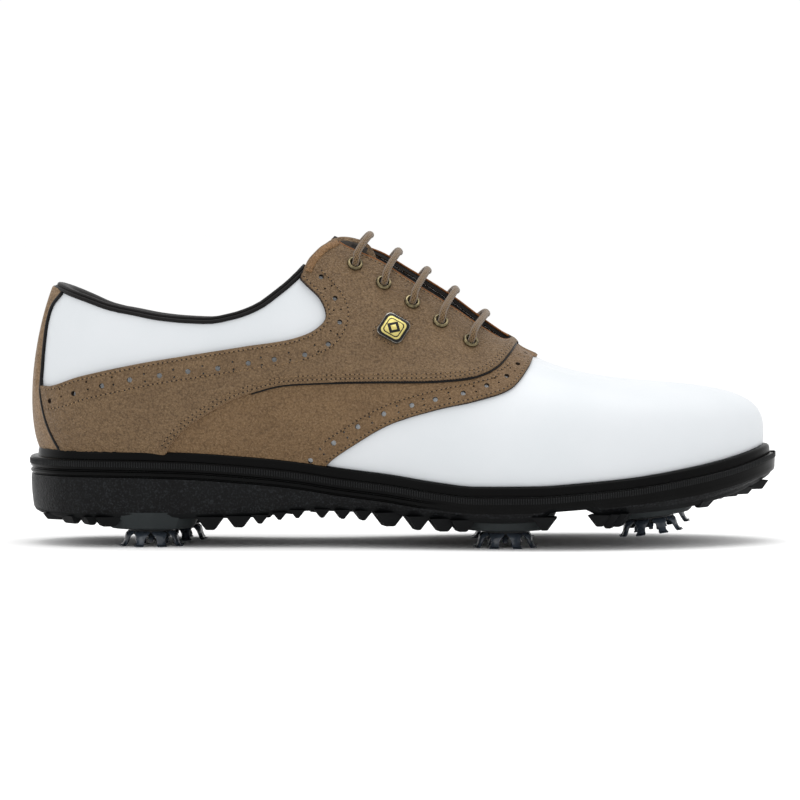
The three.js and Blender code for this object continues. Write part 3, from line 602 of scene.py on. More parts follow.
class Look:
    """A material made node by node. Its textures lie in the piece's own space, in metres."""

    def __init__(self, name, roughness=0.5, **constants):
        self.material = bpy.data.materials.new(name)
        self.material.use_nodes = True
        self.tree = self.material.node_tree
        self.shader = self.tree.nodes["Principled BSDF"]
        self.place = self.node("ShaderNodeTexCoord").outputs["Object"]
        self.set("Roughness", roughness)
        for socket, value in constants.items():
            self.set(socket.replace("_", " "), value)

    def node(self, kind, inputs=None, **settings):
        made = self.tree.nodes.new(kind)
        for key, value in settings.items():
            setattr(made, key, value)
        for socket, value in (inputs or {}).items():
            self.join(made.inputs[socket], value)
        return made

    def join(self, socket, value):
        if isinstance(value, bpy.types.NodeSocket):
            self.tree.links.new(value, socket)
        else:
            socket.default_value = value

    def set(self, socket, value):
        self.join(self.shader.inputs[socket], value)

    def stretched(self, scale):
        return self.node("ShaderNodeMapping", {"Vector": self.place, "Scale": scale}).outputs[0]

    def noise(self, scale, detail=2, rough=0.5, place=None):
        inputs = {"Vector": place or self.place, "Scale": scale, "Detail": detail, "Roughness": rough}
        return self.node("ShaderNodeTexNoise", inputs).outputs["Fac"]

    def cells(self, scale, feature="DISTANCE_TO_EDGE", place=None):
        inputs = {"Vector": place or self.place, "Scale": scale}
        return self.node("ShaderNodeTexVoronoi", inputs, feature=feature).outputs["Distance"]

    def waves(self, scale, direction, distortion=0):
        inputs = {"Vector": self.place, "Scale": scale, "Distortion": distortion}
        return self.node("ShaderNodeTexWave", inputs, bands_direction=direction).outputs["Fac"]

    def math(self, operation, a, b=0.0, clamp=False):
        return self.node("ShaderNodeMath", {0: a, 1: b}, operation=operation, use_clamp=clamp).outputs[0]

    def ramp(self, value, low, high, to_low=0.0, to_high=1.0):
        inputs = {"Value": value, "From Min": low, "From Max": high, "To Min": to_low, "To Max": to_high}
        return self.node("ShaderNodeMapRange", inputs).outputs["Result"]

    def mix(self, factor, a, b):
        mixer = self.node("ShaderNodeMix", data_type="RGBA")
        for index, value in ((0, factor), (6, a), (7, b)):
            self.join(mixer.inputs[index], value)
        return mixer.outputs[2]

    def bump(self, height, depth, strength):
        """Bumps whose height from 0 to 1 stands for a depth in metres."""
        inputs = {"Height": height, "Distance": depth, "Strength": strength}
        self.set("Normal", self.node("ShaderNodeBump", inputs).outputs[0])


PEBBLES, PEBBLE_DEPTH = 1150.0, 0.00034     # per metre, and in metres


def pebbled_leather(name, light, dark, crease_shade):
    """Milled leather: small uneven pebbles, a painted highlight on their crowns, painted shade in the
    creases and slow changes of tone.
    """
    look = Look(name, Specular_IOR_Level=0.3)
    inputs = {"Vector": look.place, "Scale": 900.0, "Detail": 3.0}
    drift = look.node("ShaderNodeTexNoise", inputs).outputs["Color"]
    spread = look.node("ShaderNodeVectorMath", {0: drift, "Scale": 0.0011}, operation="SCALE").outputs[0]
    place = look.node("ShaderNodeVectorMath", {0: look.place, 1: spread}, operation="ADD").outputs[0]
    pebbles = look.cells(PEBBLES, "F1", place)
    wrinkles = look.noise(1500, 3, 0.6)
    height = look.math("SUBTRACT", look.ramp(wrinkles, 0.25, 0.75), look.math("MULTIPLY", pebbles, 0.9))
    streaks = look.noise(1.0, 3, 0.6, look.stretched((90, 300, 420)))
    cloud = look.math("MULTIPLY", look.noise(60, 3, 0.6), 0.4)
    tone = look.math("ADD", cloud, look.math("MULTIPLY", streaks, 0.6))
    base = look.mix(look.ramp(tone, 0.36, 0.64), dark, light)
    # painted shade: the creases between the pebbles take the darker crease colour
    base = look.mix(look.ramp(height, -0.4, 0.1, 0.45, 0.0), base, crease_shade)
    # painted highlight: the crowns of the pebbles are lightened
    base = look.mix(look.ramp(height, 0.12, 0.6, 0.0, 0.22), base, PEBBLE_HIGHLIGHT)
    look.set("Base Color", base)
    look.set("Roughness", look.ramp(height, -0.3, 0.5, 0.62, 0.42))
    look.bump(height, PEBBLE_DEPTH, 1.0)
    return look.material


def smooth_leather(name, base, shade, roughness, depth, coat=0.0, *, shine):
    """Fine full-grain leather with a soft gloss and hardly any grain."""
    look = Look(name, Coat_Weight=coat, Coat_Roughness=0.25, Specular_IOR_Level=shine)
    pores = look.cells(1500)
    slow = look.noise(26, 3, 0.55)
    look.set("Base Color", look.mix(look.ramp(slow, 0.3, 0.7), base, shade))
    look.set("Roughness", look.ramp(look.noise(90, 3), 0.3, 0.7, roughness - 0.04, roughness + 0.06))
    dimples = look.math("MULTIPLY", look.ramp(pores, 0, 0.25), 0.5)
    height = look.math("ADD", dimples, look.math("MULTIPLY", look.noise(700, 2), 0.5))
    look.bump(height, depth, 0.6)
    return look.material


def cut_edge(name, base, dark):
    """The painted edge of a leather panel, with a trace of its fibres."""
    look = Look(name, 0.7, Specular_IOR_Level=0.3)
    look.set("Base Color", look.mix(look.ramp(look.noise(2500, 3, 0.7), 0.35, 0.65), base, dark))
    look.bump(look.noise(3000, 2), 0.00008, 0.7)
    return look.material


def thread(name, base, dark):
    """Sewing thread with its twist, with painted shade in the grooves between its strands."""
    look = Look(name, 0.55, Sheen_Weight=0.2)
    twist = look.waves(900, "DIAGONAL")
    look.set("Base Color", look.mix(look.ramp(twist, 0.2, 0.8), dark, base))
    look.bump(twist, 0.00006, 0.7)
    return look.material


def woven(name, base, dark, scale, depth=0.00012):
    """Plain cloth: two sets of yarns across each other, with painted shade between the yarns."""
    look = Look(name, 0.85, Sheen_Weight=0.3, Sheen_Roughness=0.5, Specular_IOR_Level=0.2)
    along_x = look.waves(scale, "X", distortion=0.6)
    along_y = look.waves(scale, "Y", distortion=0.6)
    along_z = look.waves(scale, "Z", distortion=0.6)
    yarns = look.math("ADD", look.math("MULTIPLY", along_x, along_z), look.math("MULTIPLY", along_y, 0.35))
    shade = look.math("MULTIPLY", yarns, look.ramp(look.noise(240, 3), 0.3, 0.7, 0.8, 1.1))
    look.set("Base Color", look.mix(look.ramp(shade, 0.1, 1.0), dark, base))
    look.bump(yarns, depth, 0.8)
    return look.material


def spacer_mesh(name, base, dark):
    """Knitted mesh with round openings, as in a shoe's lining, with painted shade in the openings."""
    look = Look(name, 0.8, Sheen_Weight=0.4, Specular_IOR_Level=0.2)
    openings = look.cells(520, "F1")
    look.set("Base Color", look.mix(look.ramp(openings, 0.25, 0.6), dark, base))
    look.bump(look.ramp(openings, 0.2, 0.65), 0.0003, 0.7)
    return look.material


def moulded_rubber(name, base, worn, roughness, grain, depth, specular=0.35, specks=0.0):
    """Injection-moulded rubber with a fine sparked texture and paler rubbed places and specks."""
    look = Look(name, Specular_IOR_Level=specular)
    grit = look.noise(grain, 3, 0.7)
    rubbed = look.noise(75, 4, 0.6)
    tone = look.mix(look.ramp(rubbed, 0.45, 0.8, 0.0, 0.7), base, worn)
    if specks:
        tone = look.mix(look.ramp(look.noise(1250, 2, 0.6), 0.5, 0.72, 0.0, specks), tone, SPECK)
    look.set("Base Color", tone)
    look.set("Roughness", look.ramp(rubbed, 0.3, 0.75, roughness + 0.08, roughness - 0.08))
    look.bump(grit, depth, 0.7)
    return look.material


def aged_metal(name, base, tarnish, roughness, scale=420.0):
    """Antiqued metal: bright on its rubbed crowns and dark in between."""
    look = Look(name, Metallic=1.0)
    patches = look.noise(scale, 4, 0.65)
    look.set("Base Color", look.mix(look.ramp(patches, 0.35, 0.65), tarnish, base))
    look.set("Roughness", look.ramp(patches, 0.3, 0.7, roughness + 0.18, roughness - 0.05))
    look.bump(look.noise(scale * 5, 2), 0.00003, 0.5)
    return look.material


def braid(name, base, dark):
    """Round braided lace: strands cross in both directions, from the piece's own UV map, with painted shade
    between the strands.
    """
    look = Look(name, 0.8, Sheen_Weight=0.35, Specular_IOR_Level=0.2)
    wrap = look.node("ShaderNodeUVMap", uv_map="Braid").outputs[0]
    turned = look.node("ShaderNodeMapping", {"Vector": wrap, "Rotation": (0, 0, math.pi / 4)}).outputs[0]
    split = look.node("ShaderNodeSeparateXYZ", {"Vector": turned})
    ridges = [look.math("SINE", look.math("MULTIPLY", split.outputs[axis], 8.9)) for axis in (0, 1)]
    strands = look.math("MAXIMUM", *(look.math("ABSOLUTE", ridge) for ridge in ridges))
    fibres = look.noise(2600, 2, 0.6)
    shade = look.math("MULTIPLY", look.ramp(strands, 0.55, 1.0), look.ramp(fibres, 0.3, 0.7, 0.75, 1.05))
    look.set("Base Color", look.mix(shade, dark, base))
    look.bump(strands, 0.0003, 0.9)
    return look.material


SPECK = colour(72, 76, 80)       # paler specks on the sole's rough wall
PEBBLE_HIGHLIGHT = colour(170, 144, 112)   # painted highlight on the crowns of the leather's pebbles
TAN = pebbled_leather("tan_leather", colour(113, 90, 63), colour(101, 79, 54), colour(44, 29, 14))
STRAP_TAN = pebbled_leather("strap_leather", colour(136, 110, 81), colour(116, 92, 64), colour(62, 44, 26))
LOWER_TAN = pebbled_leather("lower_leather", colour(115, 90, 61), colour(105, 81, 54), colour(60, 43, 24))
TONGUE_TAN = pebbled_leather("tongue_leather", colour(122, 98, 70), colour(100, 78, 53), colour(52, 37, 20))
ROLL_TAN = pebbled_leather("rolled_leather", colour(138, 103, 66), colour(112, 82, 50), colour(58, 38, 19))
WHITE = smooth_leather(
    "white_leather", colour(208, 211, 214), colour(203, 207, 210), 0.4, 0.00003, shine=0.3,
)
BLACK = smooth_leather("piping_leather", colour(16, 14, 14), colour(10, 9, 9), 0.4, 0.00005, shine=0.16)
BINDING = smooth_leather("binding_leather", colour(20, 18, 18), colour(13, 12, 12), 0.5, 0.00007, shine=0.14)
EDGE_DARK = cut_edge("edge_paint", colour(52, 39, 29), colour(34, 26, 20))
EDGE_LIGHT = cut_edge("cut_edge", colour(150, 124, 98), colour(120, 92, 66))
EDGE_ORANGE = cut_edge("facing_edge", colour(140, 90, 44), colour(98, 58, 26))
EDGE_BLACK = cut_edge("inner_edge", colour(26, 22, 20), colour(16, 14, 13))
THREAD = thread("thread", colour(142, 110, 64), colour(84, 60, 32))
# painted shade of the needle holes beside the stitches
HOLE_SHADE = cut_edge("needle_hole", colour(34, 23, 15), colour(22, 15, 10))


# ---- Lines drawn on the flat upper ---------------------------------------------------------------
BELOW = -0.024                   # v of the lower edge of each panel, hidden inside the sole
HEEL_BACK = 4.5                  # x where those edges start at the back of the heel
STRAP_THINS = (61, 67)           # heights over which the strap thins beside the white leather


def plan_place(points):
    """Flat points of the upper that the plan shows at x and y."""
    flat = points - np.stack([np.zeros(len(points)), spine_y(points[:, 0])], -1)
    for _ in range(12):
        missing = points - surface(flat)[:, :2]
        steps = np.linalg.pinv(jacobian(flat)[:, :2]) @ missing[..., None]
        flat = flat + np.clip(steps[..., 0], -4, 4)
    return flat


def throat_line(side, from_x, to_x, extra=0.0):
    """The edge of the throat on one side, as the plan shows it."""
    sign = -1 if side == "lateral" else 1
    x = np.linspace(from_x, to_x, 40)
    along, *edges = np.array(THROAT, float).T
    y = np.interp(x, along, edges[0 if side == "lateral" else 1]) + sign * extra
    return plan_place(np.stack([x, y], -1))


def low_line(side, from_x, to_x, count=40):
    """The lower edge of a panel, from one x to another along the sole."""
    turns = np.linspace(turn_at(side, from_x), turn_at(side, to_x), count)
    return to_flat(turns, np.full(count, BELOW))


def above_sole(line_xz):
    """The part of a side-view line that stands above the feather edge."""
    return line_xz[line_xz[:, 1] > feather_z(line_xz[:, 0]) + 0.4]


def side_flat(side, xz):
    return to_flat(*place_at(side, xz))


def join_lines(*lines):
    """One line from several, without the points that nearly repeat."""
    points = np.vstack(lines)
    gaps = np.linalg.norm(np.diff(points, axis=0), axis=1)
    return points[np.r_[True, gaps > 0.05]]


def middle_line(from_x, to_x):
    """A line along the middle of the throat, and on in front of it."""
    x = np.linspace(from_x, to_x, 12)
    return plan_place(np.stack([x, spine_y(x) + THROAT_SHIFT], -1))


# ---- Stitches, holes and other small pieces laid along lines ---------------------------------------
class Batch:
    """Many small shapes gathered into one mesh."""

    def __init__(self):
        self.points, self.faces, self.count = [], [], 0

    def add(self, points, faces):
        self.points.append(points)
        self.faces += [tuple(i + self.count for i in face) for face in faces]
        self.count += len(points)

    def make(self, name, material, body="shoe", slot=None):
        return make_mesh(name, np.vstack(self.points), self.faces, material, body)


# Rings of a stitch: how far along its half length, and the share of its radius.
_capsule_rows = [(-1.0, 0.35), (-0.82, 0.8), (-0.3, 1.0), (0.3, 1.0), (0.82, 0.8), (1.0, 0.35)]
_capsule_turns = around(6)[:, None]
_capsule_faces = grid_faces(len(_capsule_rows), len(_capsule_turns), capped=True)


def capsule(batch, centre, direction, normal, half, radius):
    """A stitch: a short rod, thinner at its ends, which dip into the leather."""
    across = np.cross(direction, normal)
    rows = []
    for way, size in _capsule_rows:
        dip = -0.5 * radius * way ** 4
        ring = centre + direction * way * half + normal * dip
        rim = np.cos(_capsule_turns) * across + np.sin(_capsule_turns) * normal
        rows.append(ring + radius * size * rim)
    batch.add(np.vstack(rows), _capsule_faces)


DISC_SIDES = 8
STITCH_PITCH, STITCH_LENGTH, STITCH_RADIUS, NEEDLE_HOLE = 1.9, 1.15, 0.23, 0.34


def disc(batch, centre, normal, direction, radius):
    """A needle hole's shade, painted as a small dark disc with its middle raised a little."""
    turns = around(DISC_SIDES)
    across = np.cross(direction, normal)
    rim = centre + radius * (np.cos(turns)[:, None] * direction + np.sin(turns)[:, None] * across)
    points = np.vstack([rim, centre + normal * 0.04])
    batch.add(points, [(i, (i + 1) % DISC_SIDES, DISC_SIDES) for i in range(DISC_SIDES)])


def stitch_row(threads, holes, line, height):
    """A row of stitches along a flat line, with a needle hole of painted shade between each two."""
    places = resample(line, STITCH_PITCH / 2)
    points = surface(places, height)
    normals = upper_normal(*from_flat(places))
    directions = unit(np.gradient(points, axis=0))
    for k in range(1, len(places) - 1, 2):
        centre = points[k] + normals[k] * 0.06
        capsule(threads, centre, directions[k], normals[k], STITCH_LENGTH / 2, STITCH_RADIUS)
    for k in range(0, len(places), 2):
        disc(holes, points[k] + normals[k] * 0.03, normals[k], directions[k], NEEDLE_HOLE)


def brogue(centres, spread):
    """Large round holes at the centres, and between each two a pair of small ones across the band."""
    tangents = unit(np.gradient(surface(centres), axis=0))
    normals = upper_normal(*from_flat(centres))
    middles = (centres[:-1] + centres[1:]) / 2
    across = unit(np.cross(normals, tangents))
    across = unit(across[:-1] + across[1:])
    steps = flat_steps(middles, across * spread)
    large = round_holes(centres, 1.05, 12)
    small = round_holes(np.vstack([middles + steps, middles - steps]), 0.42, 7)
    return large + small


# ---- Outlines of the upper's pieces ----------------------------------------------------------------
PIPING_GAP = 0.62                # from the middle of the piping to the leather beside it
PIPING_LOW, PIPING_HIGH = 1.75, 0.55
COLLAR_TILT = 0.9                # the collar stands this much higher outside, and lower inside
MEDIAL_TOP_SHIFT = 2.4           # how much nearer to the toe the medial facing's top edge lies
FACING_TOP = [(121.6, 122.4), (118, 119.4), (115.3, 117), (113.2, 114.7), (111.6, 111.6), (111, 109.9)]
REAR_HOLES = [
    (10.9, 58.3), (20.3, 61.6), (31.2, 64.8), (42.1, 67.2), (53.9, 68.9), (65.2, 70.5), (77, 71.7),
    (89.1, 73.7), (99.6, 75.1), (111.8, 76.9), (121.1, 81), (125.6, 89.5), (123.5, 98.8), (117.9, 107.3),
]
FRONT_HOLES = [
    (114.2, 35.2), (123.5, 42.1), (133.2, 48.6), (143.6, 53.7), (154.7, 57.1), (164, 59.3), (175, 61.6),
    (184.3, 64.4), (192.2, 67.8), (196.8, 72.1), (199.7, 75.9),
]


def aside(line, side, distance):
    """A line moved to its left as it looks on the lateral side, or its mirror image on the medial side."""
    return parallel(line, distance if side == "lateral" else -distance)


def rim_v(u, drop):
    """v of the collar's edge, a distance under its top."""

    def is_under(v):
        x, y, z = np.moveaxis(upper(u, v), -1, 0)
        slope = (collar_z(x + 1) - collar_z(x - 1)) / 2
        tilt = COLLAR_TILT * np.sign(y) * smoothstep(14, 36, x) * (1 - smoothstep(96, 112, x))
        return z < collar_z(x) - (drop + tilt) * np.hypot(1, slope)

    return halving(0.2, 0.985, np.shape(u), is_under, steps=24)


def collar_line(side, to_x, drop, count=60):
    """The collar's edge from the back of the heel forward, to where the shoe's x reaches a value."""
    sign = 1 if side == "lateral" else -1
    turns = sign * np.linspace(0, 0.4, 400)
    rows = rim_v(turns, drop)
    x = upper(turns, rows)[:, 0]
    end = np.interp(to_x, x, np.abs(turns))
    turns = sign * np.linspace(0, end, count)
    return to_flat(np.mod(turns, 1), rim_v(turns, drop))


def piping_level(z):
    """How far the piping stands off the white leather: less above the saddle, where the strap thins."""
    return PIPING_LOW - (PIPING_LOW - PIPING_HIGH) * smoothstep(*STRAP_THINS, z)


def piping_line(side, count=50):
    """The piping's place on the leather, so that the side view shows it where it should be."""
    aim = curve(PIPING_EDGE, count)
    places = aim.copy()
    for _ in range(3):
        seen = surface(to_flat(*place_at(side, places)), piping_level(aim[:, 1]))
        places = places + 0.9 * (aim - seen[:, [0, 2]])
    return to_flat(*place_at(side, places))


LINES = {}
for _side in SIDES:
    LINES[_side] = {
        "piping": piping_line(_side),
        "quarter": side_line(_side, QUARTER_EDGE, 120),
        "upper": side_flat(_side, above_sole(curve(UPPER_SADDLE_EDGE, 120))),
        "lower": side_flat(_side, above_sole(curve(LOWER_SADDLE_EDGE[:-1] + [(203, 74.2)], 90))),
        "throat": throat_line(_side, 123, THROAT_FRONT),
    }
    _shift = 0 if _side == "lateral" else MEDIAL_TOP_SHIFT
    _corner = surface(LINES[_side]["throat"])[0]
    _top = [(_corner[0] - 0.7, _corner[2] + 0.2)] + [(x + _shift, z) for x, z in FACING_TOP[1:]]
    LINES[_side]["top"] = side_line(_side, _top, 16)


def throat_end(side, extra=0.0):
    """The rounded front end of the throat, from its middle to one edge."""
    sign = -1 if side == "lateral" else 1
    turns = np.linspace(0, np.pi / 2, 12)
    edge = THROAT[-1][1 if side == "lateral" else 2] + sign * extra
    middle = spine_y(THROAT_END) + THROAT_SHIFT
    x = THROAT_FRONT + (THROAT_END - THROAT_FRONT + extra) * np.cos(turns) ** 0.67
    y = middle + (edge - middle) * np.sin(turns) ** 0.67
    return plan_place(np.stack([x, y], -1))


def upper_saddle_outline(side):
    lines = LINES[side]
    piping = aside(lines["piping"], side, PIPING_GAP)
    piping = piping[surface(piping)[:, 2] < 64.6]
    piping = piping[surface(piping)[:, 2] > feather_z(14) + 0.5]
    quarter = lines["quarter"][::-1]
    quarter = quarter[surface(quarter)[:, 0] > surface(piping)[0, 0] + 0.8]
    return join_lines(
        piping, low_line(side, 14.6, 56), lines["upper"], middle_line(196.6, 194.4), throat_end(side)[1:],
        lines["throat"][::-1][1:], lines["top"], quarter[1:],
    )


def upper_saddle_height(side):
    """The upper saddle stands higher along its lower edge, where the lower saddle runs under it."""
    edge = resample(LINES[side]["upper"], 1.5)

    def height(points):
        return SADDLE_TOP + SADDLE_STEP * np.exp(-(nearest(points, edge) / 5.0) ** 2)

    return height


def upper_saddle(side):
    lines = LINES[side]
    holes = brogue(side_flat(side, REAR_HOLES), 1.5) + round_holes(to_flat(*eyelet_places(side).T), 1.9, 16)
    # Painted shade: the straight part of the lower edge takes the near-black edge, for the shadow line under
    # the overlap.
    straight = surface(lines["upper"])[:, 0] > 92
    edges = [
        (lines["quarter"], 1), (lines["upper"][~straight], 2), (lines["upper"][straight], 3),
        (lines["throat"], 3), (lines["top"], 0), (lines["piping"], 1),
        (low_line(side, 14.6, 56), 1),
    ]
    looks = [TAN, EDGE_DARK, EDGE_LIGHT, EDGE_BLACK]
    return panel(
        f"saddle_upper_{side}", upper_saddle_outline(side), holes, upper_saddle_height(side), PANEL_UNDER,
        looks, f"upper_saddle_{side}", edges=edges,
    )


def lower_saddle(side):
    lines = LINES[side]
    back = aside(lines["upper"], side, 1.6)[::-1]
    back = back[surface(back)[:, 2] > feather_z(surface(back)[:, 0]) + 0.4]
    front = lines["lower"]
    outline = join_lines(
        low_line(side, surface(back)[-1, 0], surface(front)[0, 0]), front, middle_line(203.8, 197.5),
        back[surface(back)[:, 0] < 195.5],
    )
    holes = brogue(side_flat(side, FRONT_HOLES), 1.3)
    edges = [
        (lines["lower"], 1), (lines["upper"], 2), (low_line(side, 56, 120), 1),
        (middle_line(203.8, 197.5), 2),
    ]
    return panel(
        f"saddle_lower_{side}", outline, holes, LOWER_FACE, PANEL_UNDER,
        [LOWER_TAN, EDGE_DARK, EDGE_LIGHT], f"lower_saddle_{side}", edges=edges,
    )


def heel_strap():
    arms = [aside(LINES[side]["piping"], side, -PIPING_GAP) for side in SIDES]
    arms = [arm[surface(arm)[:, 2] < collar_z(surface(arm)[:, 0]) - 2.0] for arm in arms]
    arms = [arm[surface(arm)[:, 2] > feather_z(13) + 0.5] for arm in arms]
    top = surface(arms[0])[0, 0]
    end = surface(arms[0])[-1, 0] - 0.2
    across_top = join_lines(collar_line("medial", top, 2.2)[::-1], collar_line("lateral", top, 2.2)[1:])
    across_low = join_lines(
        low_line("lateral", HEEL_BACK, end)[::-1], low_line("medial", HEEL_BACK, end)[1:],
    )
    outline = join_lines(arms[0], across_low, arms[1][::-1], across_top[:-1])
    edges = [(arms[0], 1), (arms[1], 1), (across_top, 1), (across_low, 1)]
    sides = np.vstack(arms)

    def height(points):
        beside = np.exp(-(nearest(points, sides) / 3.5) ** 2)
        return STRAP_TOP - 1.2 * beside * smoothstep(*STRAP_THINS, surface(points)[:, 2])

    return panel(
        "strap_heel", outline, [], height, PANEL_UNDER, [STRAP_TAN, EDGE_DARK],
        "heel_strap", edges=edges,
    )


SEAM = [(108, 33), (110, 36), (128, 47), (150, 60), (152, 80), (152, 105)]     # under the upper saddle
WHITE_IN = 0.7                   # how far the white leather stops short of the throat's edge


def quarter(side):
    """The white quarter: seen behind the upper saddle, and under it as far as the hidden seam."""
    seam = side_line(side, SEAM, 30)
    throat = throat_line(side, 122.5, surface(seam)[-1, 0], WHITE_IN)
    top = aside(LINES[side]["top"][::-1], side, -0.9)
    collar = collar_line(side, 111, 2.4)
    outline = join_lines(
        low_line(side, HEEL_BACK, surface(seam)[0, 0], count=60), seam, throat[::-1], top[::-1],
        collar[::-1],
    )
    edges = [(collar, 0), (throat, 1)]
    return panel(
        f"quarter_white_{side}", outline, [], 0.0, WHITE_UNDER, [WHITE, EDGE_BLACK],
        f"quarter_{side}", spacing=2.6, roll=0.5, drop=0.2, edges=edges,
    )


def vamp():
    seams = [side_line(side, SEAM, 30) for side in SIDES]
    starts, ends = [surface(seam)[0, 0] for seam in seams], [surface(seam)[-1, 0] for seam in seams]
    turns = np.linspace(turn_at("lateral", starts[0]), turn_at("medial", starts[1]), 160)
    toe = to_flat(turns, np.full(len(turns), BELOW))
    throat = join_lines(
        throat_line("lateral", ends[0], THROAT_FRONT, WHITE_IN), throat_end("lateral", WHITE_IN)[::-1],
        throat_end("medial", WHITE_IN)[1:], throat_line("medial", ends[1], THROAT_FRONT, WHITE_IN)[::-1],
    )
    outline = join_lines(toe, seams[1], throat[::-1], seams[0][::-1][:-1])
    return panel(
        "vamp_white", outline, [], 0.0, WHITE_UNDER, [WHITE, EDGE_BLACK], "vamp",
        spacing=2.4, roll=0.5, drop=0.2, edges=[(toe, 0), (throat, 1)],
    )


def stitching(side):
    """All the seams and decorative rows of one side."""
    lines, threads, holes = LINES[side], Batch(), Batch()

    def row(line, distance, level, first=2):
        stitch_row(threads, holes, aside(line, side, distance)[first:-2], level)

    quarter_line = lines["quarter"]
    quarter_line = quarter_line[surface(quarter_line)[:, 0] > 7.5]
    row(quarter_line, -1.4, SADDLE_TOP - 0.02)
    row(quarter_line[:-3], -9.1, SADDLE_TOP)
    row(lines["upper"], 1.3, SADDLE_TOP + 0.5)
    row(lines["upper"], 2.9, SADDLE_TOP + 0.39)
    row(lines["lower"], 1.1, LOWER_TOP - 0.12)
    row(lines["lower"][:-6], 7.5, LOWER_FACE, first=6)
    row(lines["throat"][3:], -1.5, SADDLE_TOP)
    row(lines["top"][::-1], -3.0, SADDLE_TOP)
    threads.make(f"stitches_{side}", THREAD, slot="tan_leather")
    holes.make(f"needle_holes_{side}", HOLE_SHADE, slot="tan_leather")


def facing_bead(side):
    """The painted corner of the facing's cut edge, along the throat."""
    line = np.vstack([LINES[side]["throat"], throat_end(side)[::-1][1:-3]])
    path = surface(resample(line, 1.5)[1:], SADDLE_TOP - 0.3)
    return sweep(f"facing_bead_{side}", path, 0.42, EDGE_ORANGE, 8)


def saddle_shadow_line(side):
    """Painted shadow: the dark line under the straight part of the upper saddle's lower edge, as a thin
    black cord.
    """
    line = aside(LINES[side]["upper"], side, -0.3)
    line = resample(line[surface(line)[:, 0] > 90], 1.5)
    path = surface(line, LOWER_TOP + 0.05)
    return sweep(f"saddle_shadow_line_{side}", path, 0.36, BLACK, 8)


def piping(side):
    line = resample(LINES[side]["piping"], 1.2)
    line = line[surface(line)[:, 2] < collar_z(surface(line)[:, 0]) - 1.0]
    path = surface(line, piping_level(surface(line)[:, 2]))
    tail = path[-1] + np.outer(np.arange(1, 4), unit(path[-1] - path[-3]))
    roll = sweep(f"piping_roll_{side}", np.vstack([path, tail]), 0.72, BLACK, 10)
    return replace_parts(roll, f"piping_{side}")


# ---- Sole ------------------------------------------------------------------------------------------
RIM_OUT, TOE_RIM_OUT, HEEL_RIM_OUT = 4.4, 5.2, 6.2
CLEATS = {                       # x, y, z and forward lean in degrees of each cleat's axis
    "heel_lateral": (50, -19.5, 7, 0), "heel_medial": (58.5, 19, 7, 0),
    "ball_lateral": (192, -30, 7, 0), "ball_medial": (192, 29, 7, 0),
    "toe_lateral": (250, -20, 12.1, 7), "toe_medial": (255, 24, 12.6, 7),
}
RUBBER = moulded_rubber("sole_rubber", colour(4, 4, 4), colour(8, 9, 9), 0.3, 700, 0.00001, 0.07)
SIDEWALL = moulded_rubber(
    "sole_sidewall", colour(5, 5, 6), colour(11, 13, 14), 0.4, 1300, 0.0007, 0.12, specks=0.22,
)
TREAD = moulded_rubber("sole_tread", colour(9, 10, 11), colour(16, 18, 19), 0.55, 1200, 0.00005, 0.1)
POD = moulded_rubber("sole_pod", colour(38, 42, 43), colour(48, 52, 53), 0.5, 1300, 0.00003, 0.14)
RIB = moulded_rubber("welt_rib", colour(17, 18, 19), colour(25, 26, 27), 0.42, 1300, 0.00003, 0.14)
CLEAT_LOOK = moulded_rubber("cleat_plastic", colour(46, 52, 60), colour(74, 82, 92), 0.24, 900, 0.00001, 0.5)
CLEAT_HUB = moulded_rubber("cleat_hub", colour(14, 15, 17), colour(22, 24, 27), 0.35, 900, 0.00001, 0.25)

# Rows of the sole's wall from the leather outward and down: distance out (from the feather edge, or
# from the rim where marked), height over the feather edge, and how much of it fades with the grooves.
RAND_ROWS = [(-0.8, 0.8), (1.0, 0.85), (2.0, 0.65), (2.7, 0.1), (2.95, -0.8), (3.05, -2.3), (3.15, -2.95)]
RIM_ROWS = [
    (-0.55, -3.1, 0), (-0.12, -3.35, 0), (0.0, -3.9, 0), (0.0, -6.1, 0), (-0.1, -6.8, 0),
    (-0.45, -7.2, 0.4), (-0.95, -7.5, 0.85), (-0.95, -7.75, 0.85), (-0.45, -8.05, 0.35),
    (-0.15, -8.5, 0.05), (-0.15, -9.0, 0.05), (-0.45, -9.45, 0.3), (-1.0, -9.75, 0.8),
    (-1.0, -9.95, 0.8), (-0.5, -10.3, 0.2),
]
WALL_ROWS = [(-0.4, 0.9), (-0.45, 0.7), (-0.6, 0.45), (-0.9, 0.22)]     # distance, share of the height left
TREAD_ROWS = [(-1.3, 2.2), (-2.1, 0.9), (-3.4, 0.15)]                   # distance, height over the tread
WALL_FROM, TREAD_FROM = 21, 26   # the rows where the rough wall and the tread begin
RIM_FOOT = -6.1                  # below this, the rim's rows close up where the sole is thin
WALL_FOOT = 2.6                  # the foot of the wall, over the tread
FLEX_NOTCH = [(206, 0), (212, 5.2), (221, 5.0), (229, 0)]               # the notch across the ball


def rim_out(x):
    """How far the sole's rim stands out from the feather edge: further at the toe and the heel."""
    toe = (TOE_RIM_OUT - RIM_OUT) * smoothstep(120, 200, x)
    return RIM_OUT + toe + (HEEL_RIM_OUT - RIM_OUT) * (1 - smoothstep(6, 34, x))


def tread_z(x):
    """Height of the tread, which lifts at the flex notch across the ball."""
    lift = np.interp(x, *zip(*FLEX_NOTCH))
    return sole_bottom(x) + np.minimum(lift, 3.4)


